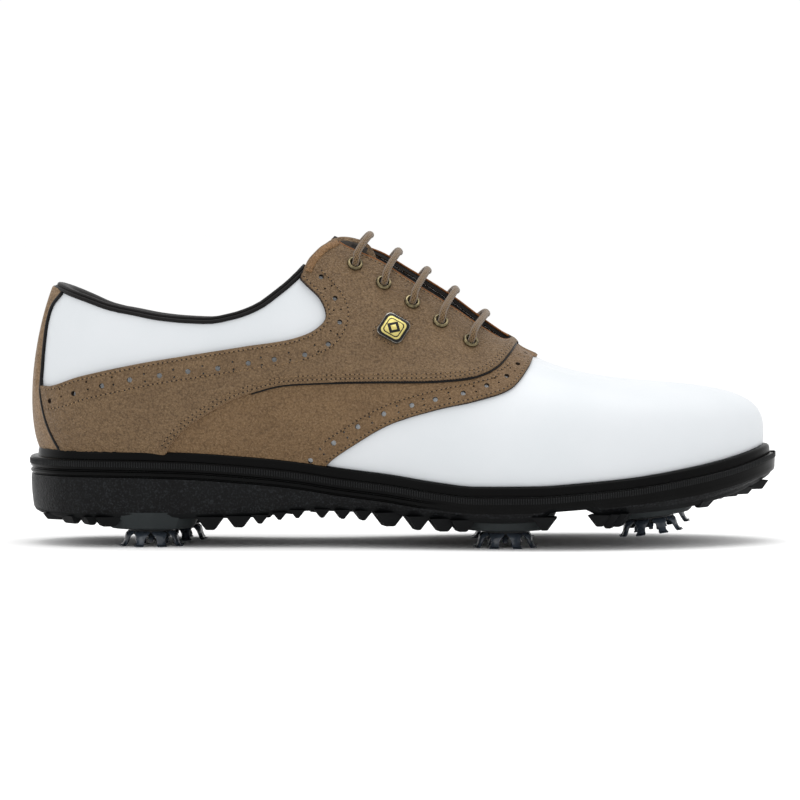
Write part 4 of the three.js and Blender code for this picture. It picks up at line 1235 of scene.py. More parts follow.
def sole_rows(u):
    """The rows of the sole's wall round the shoe, from inside the rand to the tread."""
    x = feather(u)[:, 0]
    zf, rim, bottom = feather_z(x), rim_out(x), tread_z(x)
    fade = 1 - smoothstep(150, 180, x)
    rows = [(np.full(len(x), out), zf + lift) for out, lift in RAND_ROWS]
    squeeze = np.clip((zf - bottom - 4.5) / 10.3, 0, 1)
    for out, lift, deep in RIM_ROWS:
        low = np.where(lift < RIM_FOOT, RIM_FOOT + (lift - RIM_FOOT) * squeeze, lift)
        rows.append((rim + out + deep * (1 - fade), zf + low))
    wall_top = rows[-1][1] - 0.3
    for out, share in WALL_ROWS:
        rows.append((rim + out, bottom + WALL_FOOT + (wall_top - bottom - WALL_FOOT).clip(0) * share))
    rows += [(rim + out, bottom + lift) for out, lift in TREAD_ROWS]
    return rows


def across_ring(ring, first, start, across, height):
    """Points and faces of a sheet across a ring, from each lateral place to the medial one facing it.

    The ring's points are numbered from first, and the new ones from start. height gives a new point's z.
    """
    stations, half = len(ring), len(ring) // 2
    grid, points, faces = {}, [], []
    for k in range(half + 1):
        for j in range(across + 1):
            if j == 0 or k in (0, half):
                grid[k, j] = first + k
            elif j == across:
                grid[k, j] = first + stations - k
            else:
                share = j / across
                point = ring[k] * (1 - share) + ring[stations - k] * share
                point[2] = height(point, share, min(k, half - k) / half)
                grid[k, j] = start + len(points)
                points.append(point)
    for k in range(half):
        for j in range(across):
            corners = [grid[k, j], grid[k, j + 1], grid[k + 1, j + 1], grid[k + 1, j]]
            corners = [c for i, c in enumerate(corners) if c != corners[i - 1]]
            if len(set(corners)) >= 3:
                faces.append(tuple(corners))
    return points, faces


def outsole(stations=420, across=14):
    u = np.arange(stations) / stations
    rings = []
    for out, z in sole_rows(u):
        ring = feather(u, out)
        ring[:, 2] = z
        rings.append(ring)
    count = len(rings)
    faces = [(a, d, c, b) for a, b, c, d in grid_faces(count, stations)]
    looks = [int(r >= WALL_FROM) + int(r >= TREAD_FROM) for r in range(count - 1) for _ in range(stations)]

    def height(point, share, _):
        return tread_z(point[0]) + 0.15 + 0.9 * math.sin(math.pi * share)

    points, tread = across_ring(rings[-1], (count - 1) * stations, count * stations, across, height)
    points, faces, looks = [*rings, points], faces + tread, looks + [2] * len(tread)
    piece = make_mesh("sole_shell", np.vstack(points), faces, [RUBBER, SIDEWALL, TREAD])
    piece.data.polygons.foreach_set("material_index", looks[:len(piece.data.polygons)])
    sharpen(piece, 38)
    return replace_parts(piece, "outsole")


def welt_ribs(pitch):
    """The fine upright ribs that stand for the stitches of the welt."""
    u = np.linspace(0, 1, 6001)
    x = feather(u)[:, 0]
    line = feather(u, rim_out(x) - 0.02)
    travelled = distances(line[:, :2])
    places = np.interp(np.arange(0, travelled[-1] - pitch, pitch), travelled, u)
    middle = feather(places, rim_out(feather(places)[:, 0]) - 0.06)
    ahead = unit(feather(places + 0.0005, 1.0) - feather(places - 0.0005, 1.0))
    outward = np.stack([ahead[:, 1], -ahead[:, 0], np.zeros(len(ahead))], -1)
    batch = Batch()
    heights = [(-3.85, 0.0, 0.12), (-4.05, 0.28, 0.26), (-5.95, 0.28, 0.26), (-6.15, 0.0, 0.12)]
    for centre, along, out in zip(middle, ahead, outward):
        zf = feather_z(centre[0])
        rows = []
        for lift, proud, half in heights:
            base = np.array([centre[0], centre[1], zf + lift])
            rows += [base - along * (half + 0.1), base - along * half * 0.6 + out * (proud + 0.06),
                     base + along * half * 0.6 + out * (proud + 0.06), base + along * (half + 0.1)]
        batch.add(np.array(rows), grid_faces(len(heights), 4, closed=False))
    return batch.make("welt_ribs", RIB, slot="sole_rubber")


# x of each lug's middle, half its length at the tip, and the height of its tip.
EDGE_LUGS = [
    (12.2, 1.7, 10.4), (18.1, 0.8, 9.2), (25.2, 0.9, 8.9), (32.5, 2.6, 8.4), (74.2, 1.7, 7.1),
    (85.6, 1.7, 8.1), (94, 0.8, 9.6), (101.6, 0.6, 11.1), (108.6, 0.6, 11.8), (118.3, 0.6, 12),
    (126.4, 0.6, 11.6), (134.5, 0.6, 11.1), (144.9, 1.9, 8.9), (156.3, 0.8, 7.6), (166.5, 1.8, 7.2),
    (174.1, 1.6, 7.2), (207.2, 1.2, 8.0), (229.8, 1.2, 9.4), (233.3, 1.0, 8.6), (236.9, 1.0, 9.2),
    (271, 0.7, 15.9), (276.2, 1.3, 19.0), (282.6, 0.7, 19.7), (287.4, 0.7, 20.3), (293.8, 1.2, 21.9),
]
INNER_ROWS = [0.22, 0.4, 0.6, 0.78]     # shares of the way across
EDGE_CLEAR, INNER_CLEAR = 14.6, 21.5    # how far lugs keep from the cleats' axes


def lug(batch, x, y, tip_half, tip_z, width, turn):
    """One tooth of the tread: a blunt wedge."""
    root_z = tread_z(x) + 0.9
    drop = root_z - tip_z
    rows = []
    for z, back, front, side in (
        (root_z, -tip_half - 0.62 * drop - 0.5, tip_half + 0.62 * drop + 0.5, width / 2 + 0.3 * drop),
        (tip_z + 0.25, -tip_half - 0.15, tip_half + 0.15, width / 2),
        (tip_z, -tip_half * 0.75, tip_half * 0.75, width / 2 - 0.4),
    ):
        corners = np.array([(back, -side), (front, -side), (front, side), (back, side)])
        c, s = math.cos(turn), math.sin(turn)
        corners = corners @ np.array([(c, s), (-s, c)])
        rows += [(x + cx, y + cy, z) for cx, cy in corners]
    faces = [(a, d, c, b) for a, b, c, d in grid_faces(3, 4)]
    batch.add(np.array(rows), faces + [(8, 11, 10, 9)])


def tread_lugs():
    batch = Batch()
    clear = [np.array(place[:2]) for place in CLEATS.values()]
    for side in SIDES:
        sign = -1 if side == "lateral" else 1
        for x, half, z in EDGE_LUGS:
            u = turn_at(side, min(x, 293.0))
            edge = feather(u, rim_out(x) - 5.6)
            if min(np.hypot(*(edge[:2] - c)) for c in clear) > EDGE_CLEAR + half:
                ahead = feather(u + 0.002) - feather(u - 0.002)
                lug(batch, edge[0], edge[1], half, z, 7.0, sign * math.atan2(ahead[1], abs(ahead[0])))
    for x in np.arange(20, 288, 9.5):
        left, right = feather(turn_at("lateral", x), -8), feather(turn_at("medial", x), -8)
        for k, share in enumerate(INNER_ROWS):
            place = left[:2] * (1 - share) + right[:2] * share + ((k % 2) * 4.4, 0)
            free = min(np.hypot(*(place - c)) for c in clear) > INNER_CLEAR
            if free and not FLEX_NOTCH[0][0] - 2 < place[0] < FLEX_NOTCH[-1][0] + 1:
                lug(batch, place[0], place[1], 0.8, tread_z(place[0]) - 1.6, 4.5, 0.6 * (-1) ** k)
    return sharpen(batch.make("tread_lugs", TREAD, slot="sole_rubber"), 30)


def seated(points, cleat):
    """Points made about a cleat's upright axis, put in their place."""
    x, y, z, lean = CLEATS[cleat]
    angle = math.radians(lean)
    points = np.asarray(points, float)
    turned = np.stack([
        points[:, 0] * math.cos(angle) - points[:, 2] * math.sin(angle), points[:, 1],
        points[:, 0] * math.sin(angle) + points[:, 2] * math.cos(angle),
    ], -1)
    return turned + (x, y, z)


def turned_rings(profile, sides, reach=None):
    """Rings of a turned shape about the z axis. reach limits the radius at each angle."""
    turns = around(sides)
    rings = []
    for radius, z in profile:
        r = np.full(sides, radius, float)
        if reach is not None:
            r = np.minimum(r, reach - (profile[0][0] - radius) * 0.7)
        rings.append(np.stack([r * np.cos(turns), r * np.sin(turns), np.full(sides, z)], -1))
    return np.vstack(rings), grid_faces(len(profile), sides)


POD_SIDES = 20
POD_LEAST = 8.0                  # the least reach of a pod toward the sole's wall
POD_ROWS = [(20.5, 7.2), (19.8, 5.6), (17.2, 0.9), (16.2, 0.25), (10.4, 0.25), (10.1, 0.5), (9.9, 3.0)]


def pod(cleat):
    """The thickened pad of the sole round a cleat, cut off where the sole's wall is."""
    u = np.linspace(0, 1, 721)[:-1]
    outline = feather(u, rim_out(feather(u)[:, 0]) - 0.9)[:, :2]
    tries = np.linspace(POD_LEAST, POD_ROWS[0][0], 60)
    reach = []
    for k in range(POD_SIDES):
        way = np.array([math.cos(k / POD_SIDES * 2 * math.pi), math.sin(k / POD_SIDES * 2 * math.pi)])
        within = inside(np.array(CLEATS[cleat][:2]) + tries[:, None] * way, outline)
        reach.append(tries[within][-1] if within.any() else POD_LEAST)
    return turned_rings(POD_ROWS, POD_SIDES, np.array(reach))


def pods():
    batch = Batch()
    for cleat in CLEATS:
        points, faces = pod(cleat)
        batch.add(seated(points, cleat), [f[::-1] for f in faces])
    return sharpen(batch.make("sole_pods", POD, slot="sole_rubber"), 25)


LEG = [  # radius, z, half width and half thickness of a cleat's leg, from its root to its foot
    (6.4, -1.4, 2.6, 0.8), (8.6, -1.3, 3.3, 0.9), (9.8, -2.2, 3.0, 0.8), (10.3, -3.2, 2.25, 0.72),
    (10.7, -4.4, 1.75, 0.66), (11.2, -5.7, 1.75, 0.62), (11.8, -6.5, 2.1, 0.55),
]


def leg_mesh(turn, rows, foot):
    """One flared leg of a cleat with its foot."""
    path = np.array([(r, z) for r, z, _, _ in rows])
    along = unit(np.gradient(path, axis=0))
    points = []
    shape = [(1, 0), (0.8, 0.75), (0, 1), (-0.8, 0.75), (-1, 0), (-0.8, -0.75), (0, -1), (0.8, -0.75)]
    for (r, z, half, thick), (ar, az) in zip(rows, along):
        points += [(r - az * thick * b, half * a, z + ar * thick * b) for a, b in shape]
    if foot:
        points += [(r + 0.55 + 0.95 * (b < 0) - 0.75 * (b > 0), 2.05 * a, -6.62) for a, b in shape]
        points += [(r + 0.45 + 0.8 * (b < 0) - 0.7 * (b > 0), 1.95 * a, -7.0) for a, b in shape]
    c, s = math.cos(turn), math.sin(turn)
    x, y, z = np.array(points).T
    turned = np.stack([x * c - y * s, x * s + y * c, z], -1)
    return turned, grid_faces(len(points) // len(shape), len(shape), capped=True)


SHORT_LEG = [(4.2, -2.2, 1.3, 0.7), (5.4, -3.2, 1.1, 0.6), (6.0, -4.4, 0.9, 0.5), (6.3, -5.2, 0.8, 0.4)]


def cleat(name):
    """A soft cleat: a domed hub, eight long flared legs and eight short ones between them."""
    batch = Batch()
    profile = [
        (9.3, -0.35), (9.4, -0.7), (9.0, -1.6), (8.0, -2.3), (6.5, -2.75), (4.0, -3.1), (3.0, -3.15),
        (2.7, -3.45), (1.2, -3.55), (0.02, -3.55),
    ]
    points, faces = turned_rings(profile, 32)
    batch.add(seated(points, name), [f[::-1] for f in faces])
    points, faces = turned_rings([(9.3, -0.35), (5.4, -0.35), (5.4, 4.2), (5.0, 4.6), (0.02, 4.6)], 32)
    batch.add(seated(points, name), faces)
    hub_faces = len(batch.faces)
    for k in range(8):
        for points, faces in (
            leg_mesh((k + 0.5) * math.pi / 4, LEG, foot=True),
            leg_mesh(k * math.pi / 4, SHORT_LEG, foot=False),
        ):
            batch.add(seated(points, name), faces)
    looks = [CLEAT_LOOK, CLEAT_HUB]
    piece = batch.make(f"soft_cleat_{name}", looks, body=f"cleat_{name}", slot="cleat_plastic")
    for k in range(hub_faces):
        piece.data.polygons[k].material_index = 1
    sharpen(piece, 45)
    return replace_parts(piece, f"cleat_{name}")


def build_sole():
    outsole()
    welt_ribs(1.0)
    tread_lugs()
    pods()
    for name in CLEATS:
        cleat(name)


# ---- Lace, eyelets and badge -------------------------------------------------------------------------
LACE_RADIUS = 1.4
LACE_SIDES = 16
LACE_TURNS = 4.0                 # braid cells round the lace
LACE_UNDER, LACE_OVER = -5.9, 5.9     # distances from the white leather under and over an eyelet
LACE_IN_EYELET = (-2.5, 4.4)          # and at both ends of its bore
LACE_CREST, LACE_LEAN = 5.6, 5.6      # how high a bar stands over the top line, and bows to the toe
BADGE, BADGE_SLOPE = (147, 86.4), -0.67
LACE_LOOK = braid("lace_braid", colour(120, 95, 63), colour(44, 31, 17))
BRASS = aged_metal("antique_brass", (0.25, 0.205, 0.115, 1), (0.05, 0.042, 0.026, 1), 0.3)
SILVER = aged_metal("badge_rim", (0.55, 0.54, 0.50, 1), (0.12, 0.115, 0.10, 1), 0.2, 900)
GOLD = aged_metal("badge_gold", (0.62, 0.54, 0.20, 1), (0.50, 0.42, 0.14, 1), 0.34, 700)
ENAMEL = smooth_leather("badge_enamel", colour(12, 12, 12), colour(8, 8, 8), 0.3, 0.00001, 0.1, shine=0.2)
# painted shade inside the eyelets' bores
BORE_SHADE = cut_edge("eyelet_bore", colour(26, 20, 14), colour(14, 11, 8))


def eyelet_places(side):
    """(u, v) of each eyelet of one side; the medial ones stand a little higher."""
    lift = 0 if side == "lateral" else 1
    return np.stack(place_at(side, [(x, z + lift) for x, z in EYELETS]), -1)


def catmull(points, steps):
    """A smooth path through points in space, with as many steps between each two."""
    ends = with_ends(points)
    path = []
    for i in range(len(ends) - 3):
        four = ends[i:i + 4]
        gaps = [max(np.linalg.norm(b - a), 1e-6) ** 0.5 for a, b in zip(four, four[1:])]
        knots = np.r_[0, np.cumsum(gaps)]
        for t in np.linspace(knots[1], knots[2], steps, endpoint=False):
            path.append(spline_point(four, knots, t))
    return np.array(path + [points[-1]])


def lace_points():
    """The lace crosses the throat at each pair of eyelets and steps down under one facing between."""
    places = {side: eyelet_places(side) for side in SIDES}

    def through(place):
        u, v = place
        straight = [on_upper(u, v, out) for out in (LACE_UNDER, *LACE_IN_EYELET)]
        return [*straight, on_upper(u, v + 0.03, LACE_OVER)]

    points = []
    for i in range(len(EYELETS)):
        near, far = SIDES if i % 2 == 0 else SIDES[::-1]
        start, end = through(places[near][i]), through(places[far][i])[::-1]
        over = []
        for t in (0.25, 0.5, 0.75):
            point = start[3] * (1 - t) + end[0] * t
            point[0] += LACE_LEAN * math.sin(math.pi * t) ** 0.6
            point[2] = spine_z(point[0]) + LACE_CREST - (0 if t == 0.5 else 0.9)
            over.append(point)
        points += [*start, *over, *end]
    return points


def lace():
    path = catmull(lace_points(), 7)
    piece = sweep("lace_braided", path, LACE_RADIUS, LACE_LOOK, LACE_SIDES)
    travelled = distances(path)
    wraps = piece.data.uv_layers.new(name="Braid")
    for polygon in piece.data.polygons:
        corners = [divmod(corner, LACE_SIDES) for corner in polygon.vertices]
        places = [place for _, place in corners]
        seam = 0 in places and LACE_SIDES - 1 in places
        for loop, (ring, place) in zip(polygon.loop_indices, corners):
            turn = (place + LACE_SIDES if seam and place == 0 else place) / LACE_SIDES
            along = travelled[ring] / (2 * math.pi * LACE_RADIUS)
            wraps.data[loop].uv = (turn * LACE_TURNS, along * LACE_TURNS)
    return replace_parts(piece, "lace")


def framed(points, centre, axis_x, axis_y, normal):
    """Points given along three axes from a centre, in the shoe's own frame."""
    points = np.asarray(points, float)
    return centre + points[:, :1] * axis_x + points[:, 1:2] * axis_y + points[:, 2:3] * normal


def across_frame(place, slope=0.0):
    """Unit axes on the upper at a place: one along the slope of the side view, and the two square to it."""
    normal = upper_normal(*place)
    axis_x = np.array([1.0, 0, slope])
    axis_x = unit(axis_x - normal * np.dot(axis_x, normal))
    return axis_x, np.cross(normal, axis_x), normal


EYELET_SIDES = 28
EYELET_ROWS = [                  # radius, and height over the white leather
    (1.75, 0.6), (1.75, 2.75), (1.92, 3.15), (2.3, 3.4), (2.75, 3.34), (3.1, 3.05), (3.28, 2.65),
    (3.28, 2.1),
]
BORE_ROWS = [(1.74, 2.4), (1.7, 0.2), (0.02, 0.2)]


def eyelet(side, index, place):
    """A rolled brass ring, with painted shade in its bore and on the disc that closes it."""
    frame_of = (on_upper(*place), *across_frame(place))
    batch = Batch()
    for rows in (EYELET_ROWS, BORE_ROWS):
        points, faces = turned_rings(rows, EYELET_SIDES)
        batch.add(framed(points, *frame_of), [f[::-1] for f in faces])
    piece = batch.make(f"eyelet_ring_{side}_{index}", [BRASS, BORE_SHADE], slot="eyelet_brass")
    for polygon in piece.data.polygons[(len(EYELET_ROWS) - 1) * EYELET_SIDES:]:
        polygon.material_index = 1
    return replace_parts(piece, f"eyelet_{side}_{index}")


CORNER_STEPS = 6


def rounded_square(half, corner):
    """Outline of a square with rounded corners."""
    points = []
    for k in range(4):
        middle = np.array([(1, 1), (-1, 1), (-1, -1), (1, -1)][k]) * (half - corner)
        turns = np.linspace(0, math.pi / 2, CORNER_STEPS + 1) + k * math.pi / 2
        points += [middle + corner * np.array([math.cos(t), math.sin(t)]) for t in turns]
    return np.array(points)


def plate(batch, rows, frame_of, corner_share=0.42):
    """A rounded square built up in steps of half width and height, closed on top."""
    rings = []
    for half, z in rows:
        outline = rounded_square(half, half * corner_share)
        rings.append(np.column_stack([outline, np.full(len(outline), z)]))
    sides = len(rings[0])
    last = (len(rows) - 1) * sides
    faces = grid_faces(len(rows), sides) + [tuple(range(last, last + sides))]
    batch.add(framed(np.vstack(rings), *frame_of), faces)


# Half width, and height over the white leather, of the badge's steps from outside in.
BADGE_RIM = [(5.5, 2.1), (5.5, 3.15), (5.44, 3.34), (5.36, 3.38), (5.3, 3.32), (5.28, 3.05)]
BADGE_FIELD = [(5.28, 3.05), (5.22, 3.3), (5.06, 3.38), (2.0, 3.38)]
BADGE_SQUARES = [
    [(4.25, 3.3), (4.25, 3.46), (4.15, 3.5)],
    [(3.5, 3.46), (3.5, 3.56), (3.42, 3.58)],
    [(3.1, 3.52), (3.1, 3.62), (3.02, 3.64)],
]
BADGE_DIAMONDS = [[(2.2, 3.6), (2.2, 3.7), (2.12, 3.72)], [(1.1, 3.66), (1.1, 3.78), (1.0, 3.8)]]
BADGE_STITCHES = 28


def badge():
    """A small enamelled badge with a plain diamond on it."""
    place = [float(part[0]) for part in place_at("lateral", BADGE)]
    axes = across_frame(place, BADGE_SLOPE)
    frame_of = (on_upper(*place), *axes)
    rim, enamel, gold = Batch(), Batch(), Batch()
    plate(rim, BADGE_RIM, frame_of)
    plate(enamel, BADGE_FIELD, frame_of)
    for batch, rows in zip((gold, enamel, gold), BADGE_SQUARES):
        plate(batch, rows, frame_of)
    turned = (frame_of[0], unit(axes[0] + axes[1]), unit(axes[1] - axes[0]), axes[2])
    for batch, rows in zip((enamel, gold), BADGE_DIAMONDS):
        plate(batch, rows, turned, 0.12)
    pieces = [
        rim.make("badge_rim", SILVER, slot="badge_metal"),
        enamel.make("badge_enamel", ENAMEL, slot="badge_metal"),
        gold.make("badge_emblem", GOLD, slot="badge_gold"),
    ]
    for piece in pieces:
        sharpen(piece, 30)
    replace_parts(pieces[0], "badge_base")
    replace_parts(pieces[2], "badge_face")
    threads, holes = Batch(), Batch()
    outline = rounded_square(6.5, 2.6)
    turns = np.vstack([outline, outline[:1]])
    travelled = distances(turns)
    marks = np.linspace(0, travelled[-1], BADGE_STITCHES + 1)[:-1]
    spots = np.stack([np.interp(marks, travelled, turns[:, k]) for k in (0, 1)], -1)
    ahead = unit(np.roll(spots, -1, 0) - np.roll(spots, 1, 0))
    for k, (spot, way) in enumerate(zip(spots, ahead)):
        centre = framed([(*spot, SADDLE_TOP + 0.04)], *frame_of)[0]
        centre = centre - axes[2] * 0.022 * float(spot @ spot) * 0.25
        direction = unit(way[0] * axes[0] + way[1] * axes[1])
        capsule(threads, centre, direction, axes[2], 0.5, 0.18)
        disc(holes, centre + direction * 0.85, axes[2], direction, 0.26)
    threads.make("badge_stitches", THREAD, slot="tan_leather")
    holes.make("badge_needle_holes", HOLE_SHADE, slot="tan_leather")


# ---- Collar, tongue and inside --------------------------------------------------------------------------
LINING_MESH = spacer_mesh("lining_mesh", colour(56, 52, 50), colour(26, 24, 24))
# the tongue's lining, also used as painted shade on the tongue's near slope in the throat
TONGUE_LINING_AND_SHADE = spacer_mesh("tongue_lining", colour(58, 52, 46), colour(28, 25, 23))
FOOTBED_CLOTH = woven("footbed_cloth", colour(70, 68, 66), colour(34, 33, 33), 700.0)
BINDING_ROWS = [                 # out of the leather and over the collar's top, in millimetres
    (0.1, -3.0), (0.62, -2.85), (0.9, -2.3), (0.85, -1.75), (0.45, -1.38), (0.15, -1.28), (0.4, -1.08),
    (0.42, -0.6), (0.1, -0.15), (-0.7, 0.12), (-2.0, 0.2), (-3.4, 0.1), (-4.7, -0.35), (-5.6, -1.2),
    (-5.9, -2.3), (-5.6, -3.4),
]
ROLL_ROWS = [
    (2.1, -3.4), (2.42, -3.3), (2.64, -2.7), (2.66, -1.7), (2.4, -0.75), (1.6, -0.08), (0.7, 0.2),
    (-0.6, 0.15), (-2.0, -0.15), (-3.1, -0.9), (-3.7, -1.9), (-3.6, -3.0),
]


def backing(x):
    """Thickness of what lies between the leather and the lining."""
    return HEEL_BACKING * (1 - smoothstep(80, 108, x)) + TOE_BACKING * smoothstep(244, 256, x)


def edge_roll(name, flat, rows, material, away, squeeze=None):
    """A folded strip over an edge of the upper. away is 1 where the outside lies left of the line."""
    points, normals = surface(flat), upper_normal(*from_flat(flat))
    tangents = unit(np.gradient(points, axis=0))
    ups = unit(np.cross(normals, tangents)) * away
    rings = []
    for k, (point, normal, up) in enumerate(zip(points, normals, ups)):
        scale = 1.0 if squeeze is None else squeeze[k]
        rings.append([point + normal * (out * scale if out < 0 else out) + up * lift for out, lift in rows])
    sides = len(rows)
    last = (len(points) - 1) * sides
    faces = grid_faces(len(points), sides, closed=False)
    faces += [tuple(range(sides)), tuple(range(last, last + sides))[::-1]]
    if away > 0:
        faces = [f[::-1] for f in faces]
    return sharpen(make_mesh(name, np.array(rings).reshape(-1, 3), faces, material), 60)


def collar_binding():
    turns = [collar_line("medial", 110.6, 0.0)[::-1], collar_line("lateral", 111.4, 0.0)[1:]]
    line = resample(np.vstack(turns), 1.6)
    squeeze = (3.5 + backing(surface(line)[:, 0])) / 5.9
    piece = edge_roll("collar_roll", line, BINDING_ROWS, BINDING, 1, squeeze)
    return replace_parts(piece, "collar_binding")


def facing_roll(side):
    line = resample(LINES[side]["top"][::-1], 0.8)
    away = 1 if side == "lateral" else -1
    line = line if side == "lateral" else line[:-1]
    return edge_roll(f"facing_roll_{side}", line, ROLL_ROWS, ROLL_TAN, away)


def opening(drop, extra):
    """The edge of the shoe's opening and throat, as one closed line."""
    lines = []
    for side in SIDES:
        throat = throat_line(side, 123, THROAT_FRONT, extra)
        top = aside(LINES[side]["top"][::-1], side, -drop * 0.6)
        half = join_lines(collar_line(side, 110.5, drop), top, throat)
        lines.append(join_lines(half, throat_end(side, extra)[::-1]))
    return join_lines(lines[0], lines[1][::-1][1:-1])


def padded_depth(points):
    """Offset of the lining's inner face, which bulges inward over the collar's foam and at the heel."""
    x, _, z = upper(*from_flat(points)).T
    pad = np.sin(np.pi * np.clip((collar_z(x) - z - 2) / 26, 0, 1)) * (1 - smoothstep(84, 104, x))
    heel = 0.9 * (1 - smoothstep(60, 80, x)) * smoothstep(39, 43, z)
    return -OUTER - 0.3 - backing(x) - LINING - np.maximum(2.4 * pad, heel)


def lining():
    loop = to_flat(np.linspace(0, 1, 401)[:-1], np.full(400, BELOW))
    hole = resample(opening(3.0, 0.5), 1.6, closed=True)

    def outer(points):
        return -OUTER - 0.25 - backing(surface(points)[:, 0])

    return panel(
        "lining_inner", loop, [hole], outer, padded_depth, [LINING_MESH], "lining",
        spacing=3.2, roll=0.4, drop=0.1,
    )


TONGUE_TOP = [                   # x, and offset of the tongue's outer face in the middle of the throat
    (121.4, -9), (122.4, -6), (123.4, -3), (124.6, -1), (126, 0.3), (128.4, 1.3), (131, 1.8), (134.1, 2),
    (137, 1.2), (139.5, -0.6), (142, -3), (145, -5.6), (148, -7.2), (150, -7.8), (208, -7.8),
]
tongue_top = smooth_table(TONGUE_TOP)
TONGUE_FACE, TONGUE_BACK = -7.8, -10.2     # offsets of its two faces under the facings
TONGUE_MIDDLE = -4.0             # its middle line, across the flat upper
TONGUE_REACH = [(121.4, 20), (123, 26), (128, 36), (160, 40), (208, 26)]     # half its width at each x
TONGUE_CREST = 4.2               # where across the throat the tongue's padded end stands highest
TONGUE_SHADE_DROP = 1.5                # how far the near slope drops under the padded end before it is painted in shade with the lining's look


def tongue():
    """A padded tongue: a leather face, puffed up where it fills the top of the throat."""
    columns, rows = 60, 64
    x = np.r_[np.linspace(121.4, 150, 34), np.linspace(152, 207.5, rows - 34)]
    reach = np.interp(x, *zip(*TONGUE_REACH))
    share = np.linspace(-1, 1, columns)
    flat = np.stack([np.repeat(x, columns), (TONGUE_MIDDLE + reach[:, None] * share).ravel()], -1)
    middle = np.clip(1 - (np.abs(flat[:, 1] - TONGUE_CREST) / 8.5) ** 3.4, 0, 1)
    edge = np.clip(1 - np.abs(np.tile(share, rows)), 0, 1)
    taper = np.sqrt(np.clip(edge / 0.12, 0, 1))
    lift = tongue_top(flat[:, 0]) - TONGUE_FACE
    pads = 0.5 * np.abs(np.sin(flat[:, 0] / 13.0 * math.pi)) * smoothstep(150, 156, flat[:, 0])
    top = TONGUE_FACE - 1.6 * (1 - taper) + np.where(lift > 0, lift * middle, lift) + pads * 0.6
    under = np.minimum(TONGUE_BACK + 0.6 * (1 - taper), top - 0.3)
    front, back = surface(flat, top), surface(flat, under)
    count = len(flat)
    faces = grid_faces(rows, columns, closed=False)
    a, b, c = (front[[f[k] for f in faces]] for k in range(3))
    if np.mean(np.cross(b - a, c - b)[:, 2]) < 0:
        faces = [f[::-1] for f in faces]
    rims = open_edges([f for face in faces for f in (face[:3], (face[0], face[2], face[3]))])
    under_faces = [tuple(i + count for i in f[::-1]) for f in faces]
    sides = [(i, i + count, j + count, j) for i, j in rims]
    piece = make_mesh(
        "tongue_padded", np.vstack([front, back]), faces + under_faces + sides, [TONGUE_TAN, TONGUE_LINING_AND_SHADE],
        body="tongue",
    )
    # Painted shade: under its padded end the tongue's near slope takes the dark lining look, for the shadow
    # in the throat's gap; the under face and cut edges are lining.
    painted_shade_slope = (flat[:, 1] < TONGUE_CREST) & (lift * (1 - middle) > TONGUE_SHADE_DROP)
    for index, polygon in enumerate(piece.data.polygons):
        if index >= len(faces) or painted_shade_slope[list(faces[index])].all():
            polygon.material_index = 1
    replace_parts(piece, "tongue")
    return piece


FOOTBED_IN = 3.9                 # from the feather edge in to the footbed, before the backing
FOOTBED_ROWS = [                 # further in, and height over the feather edge, from its underside up
    (0.6, -3.2), (0.1, -2.6), (0.0, -1.0), (0.05, 0.4), (0.5, 0.95), (1.3, 0.9),
]


def footbed(stations=240, across=22):
    """The removable footbed: a cloth-topped foam sheet with a raised rim and a heel cup."""
    u = np.arange(stations) / stations
    rings = []
    for inset, lift in FOOTBED_ROWS:
        ring = feather(u, -FOOTBED_IN - backing(feather(u)[:, 0]) - inset)
        ring[:, 2] = feather_z(ring[:, 0]) + lift
        rings.append(ring)
    count = len(rings)

    def dished(point, share, near_end):
        arch = 1.2 * math.exp(-((point[0] - 118) / 34) ** 2) * share ** 2
        dish = (2.2 - arch) * math.sin(math.pi * share) ** 0.6 * smoothstep(0, 0.12, near_end)
        return feather_z(point[0]) + FOOTBED_ROWS[-1][1] - dish

    def level(point, *_):
        return point[2]

    top, top_faces = across_ring(rings[-1], (count - 1) * stations, count * stations, across, dished)
    under, under_faces = across_ring(rings[0], 0, count * stations + len(top), across, level)
    rim_looks = [int(r < 3) for r in range(count - 1) for _ in range(stations)]
    faces = grid_faces(count, stations) + [face[::-1] for face in top_faces] + under_faces
    looks = rim_looks + [0] * len(top_faces) + [1] * len(under_faces)
    piece = make_mesh(
        "footbed_contoured", np.vstack([*rings, top, under]), faces, [FOOTBED_CLOTH, FOAM], body="footbed",
    )
    piece.data.polygons.foreach_set("material_index", looks[:len(piece.data.polygons)])
    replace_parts(piece, "footbed")
    return piece


def closed_foam(name, base, cell):
    look = Look(name, 0.85, Specular_IOR_Level=0.2)
    cells = look.cells(1400, "F1")
    # painted shade: the middles of the foam's cells, its pores, are darker
    look.set("Base Color", look.mix(look.ramp(cells, 0.1, 0.6), cell, base))
    look.bump(cells, 0.00015, 0.6)
    return look.material


FOAM = closed_foam("closed_cell_foam", colour(96, 94, 92), colour(66, 64, 62))
PALE_FOAM = closed_foam("open_cell_foam", colour(216, 212, 200), colour(168, 162, 148))
STEEL = aged_metal("shank_steel", (0.52, 0.53, 0.55, 1), (0.34, 0.35, 0.37, 1), 0.3)
BOARD = woven("fibre_board", colour(176, 158, 128), colour(132, 114, 88), 420.0, 0.00006)
STIFFENER = woven("stiffener_cloth", colour(205, 196, 176), colour(168, 158, 136), 1100.0, 0.00005)
INSERT = moulded_rubber("insert_plastic", colour(58, 60, 64), colour(84, 86, 90), 0.4, 900, 0.00002)
CAD_LOOKS = {
    "midsole": FOAM, "shank": STEEL, "insole_board": BOARD, "toe_puff": STIFFENER, "heel_counter": STIFFENER,
    "collar_foam": PALE_FOAM, **{f"receptacle_{name}": INSERT for name in CLEATS},
}


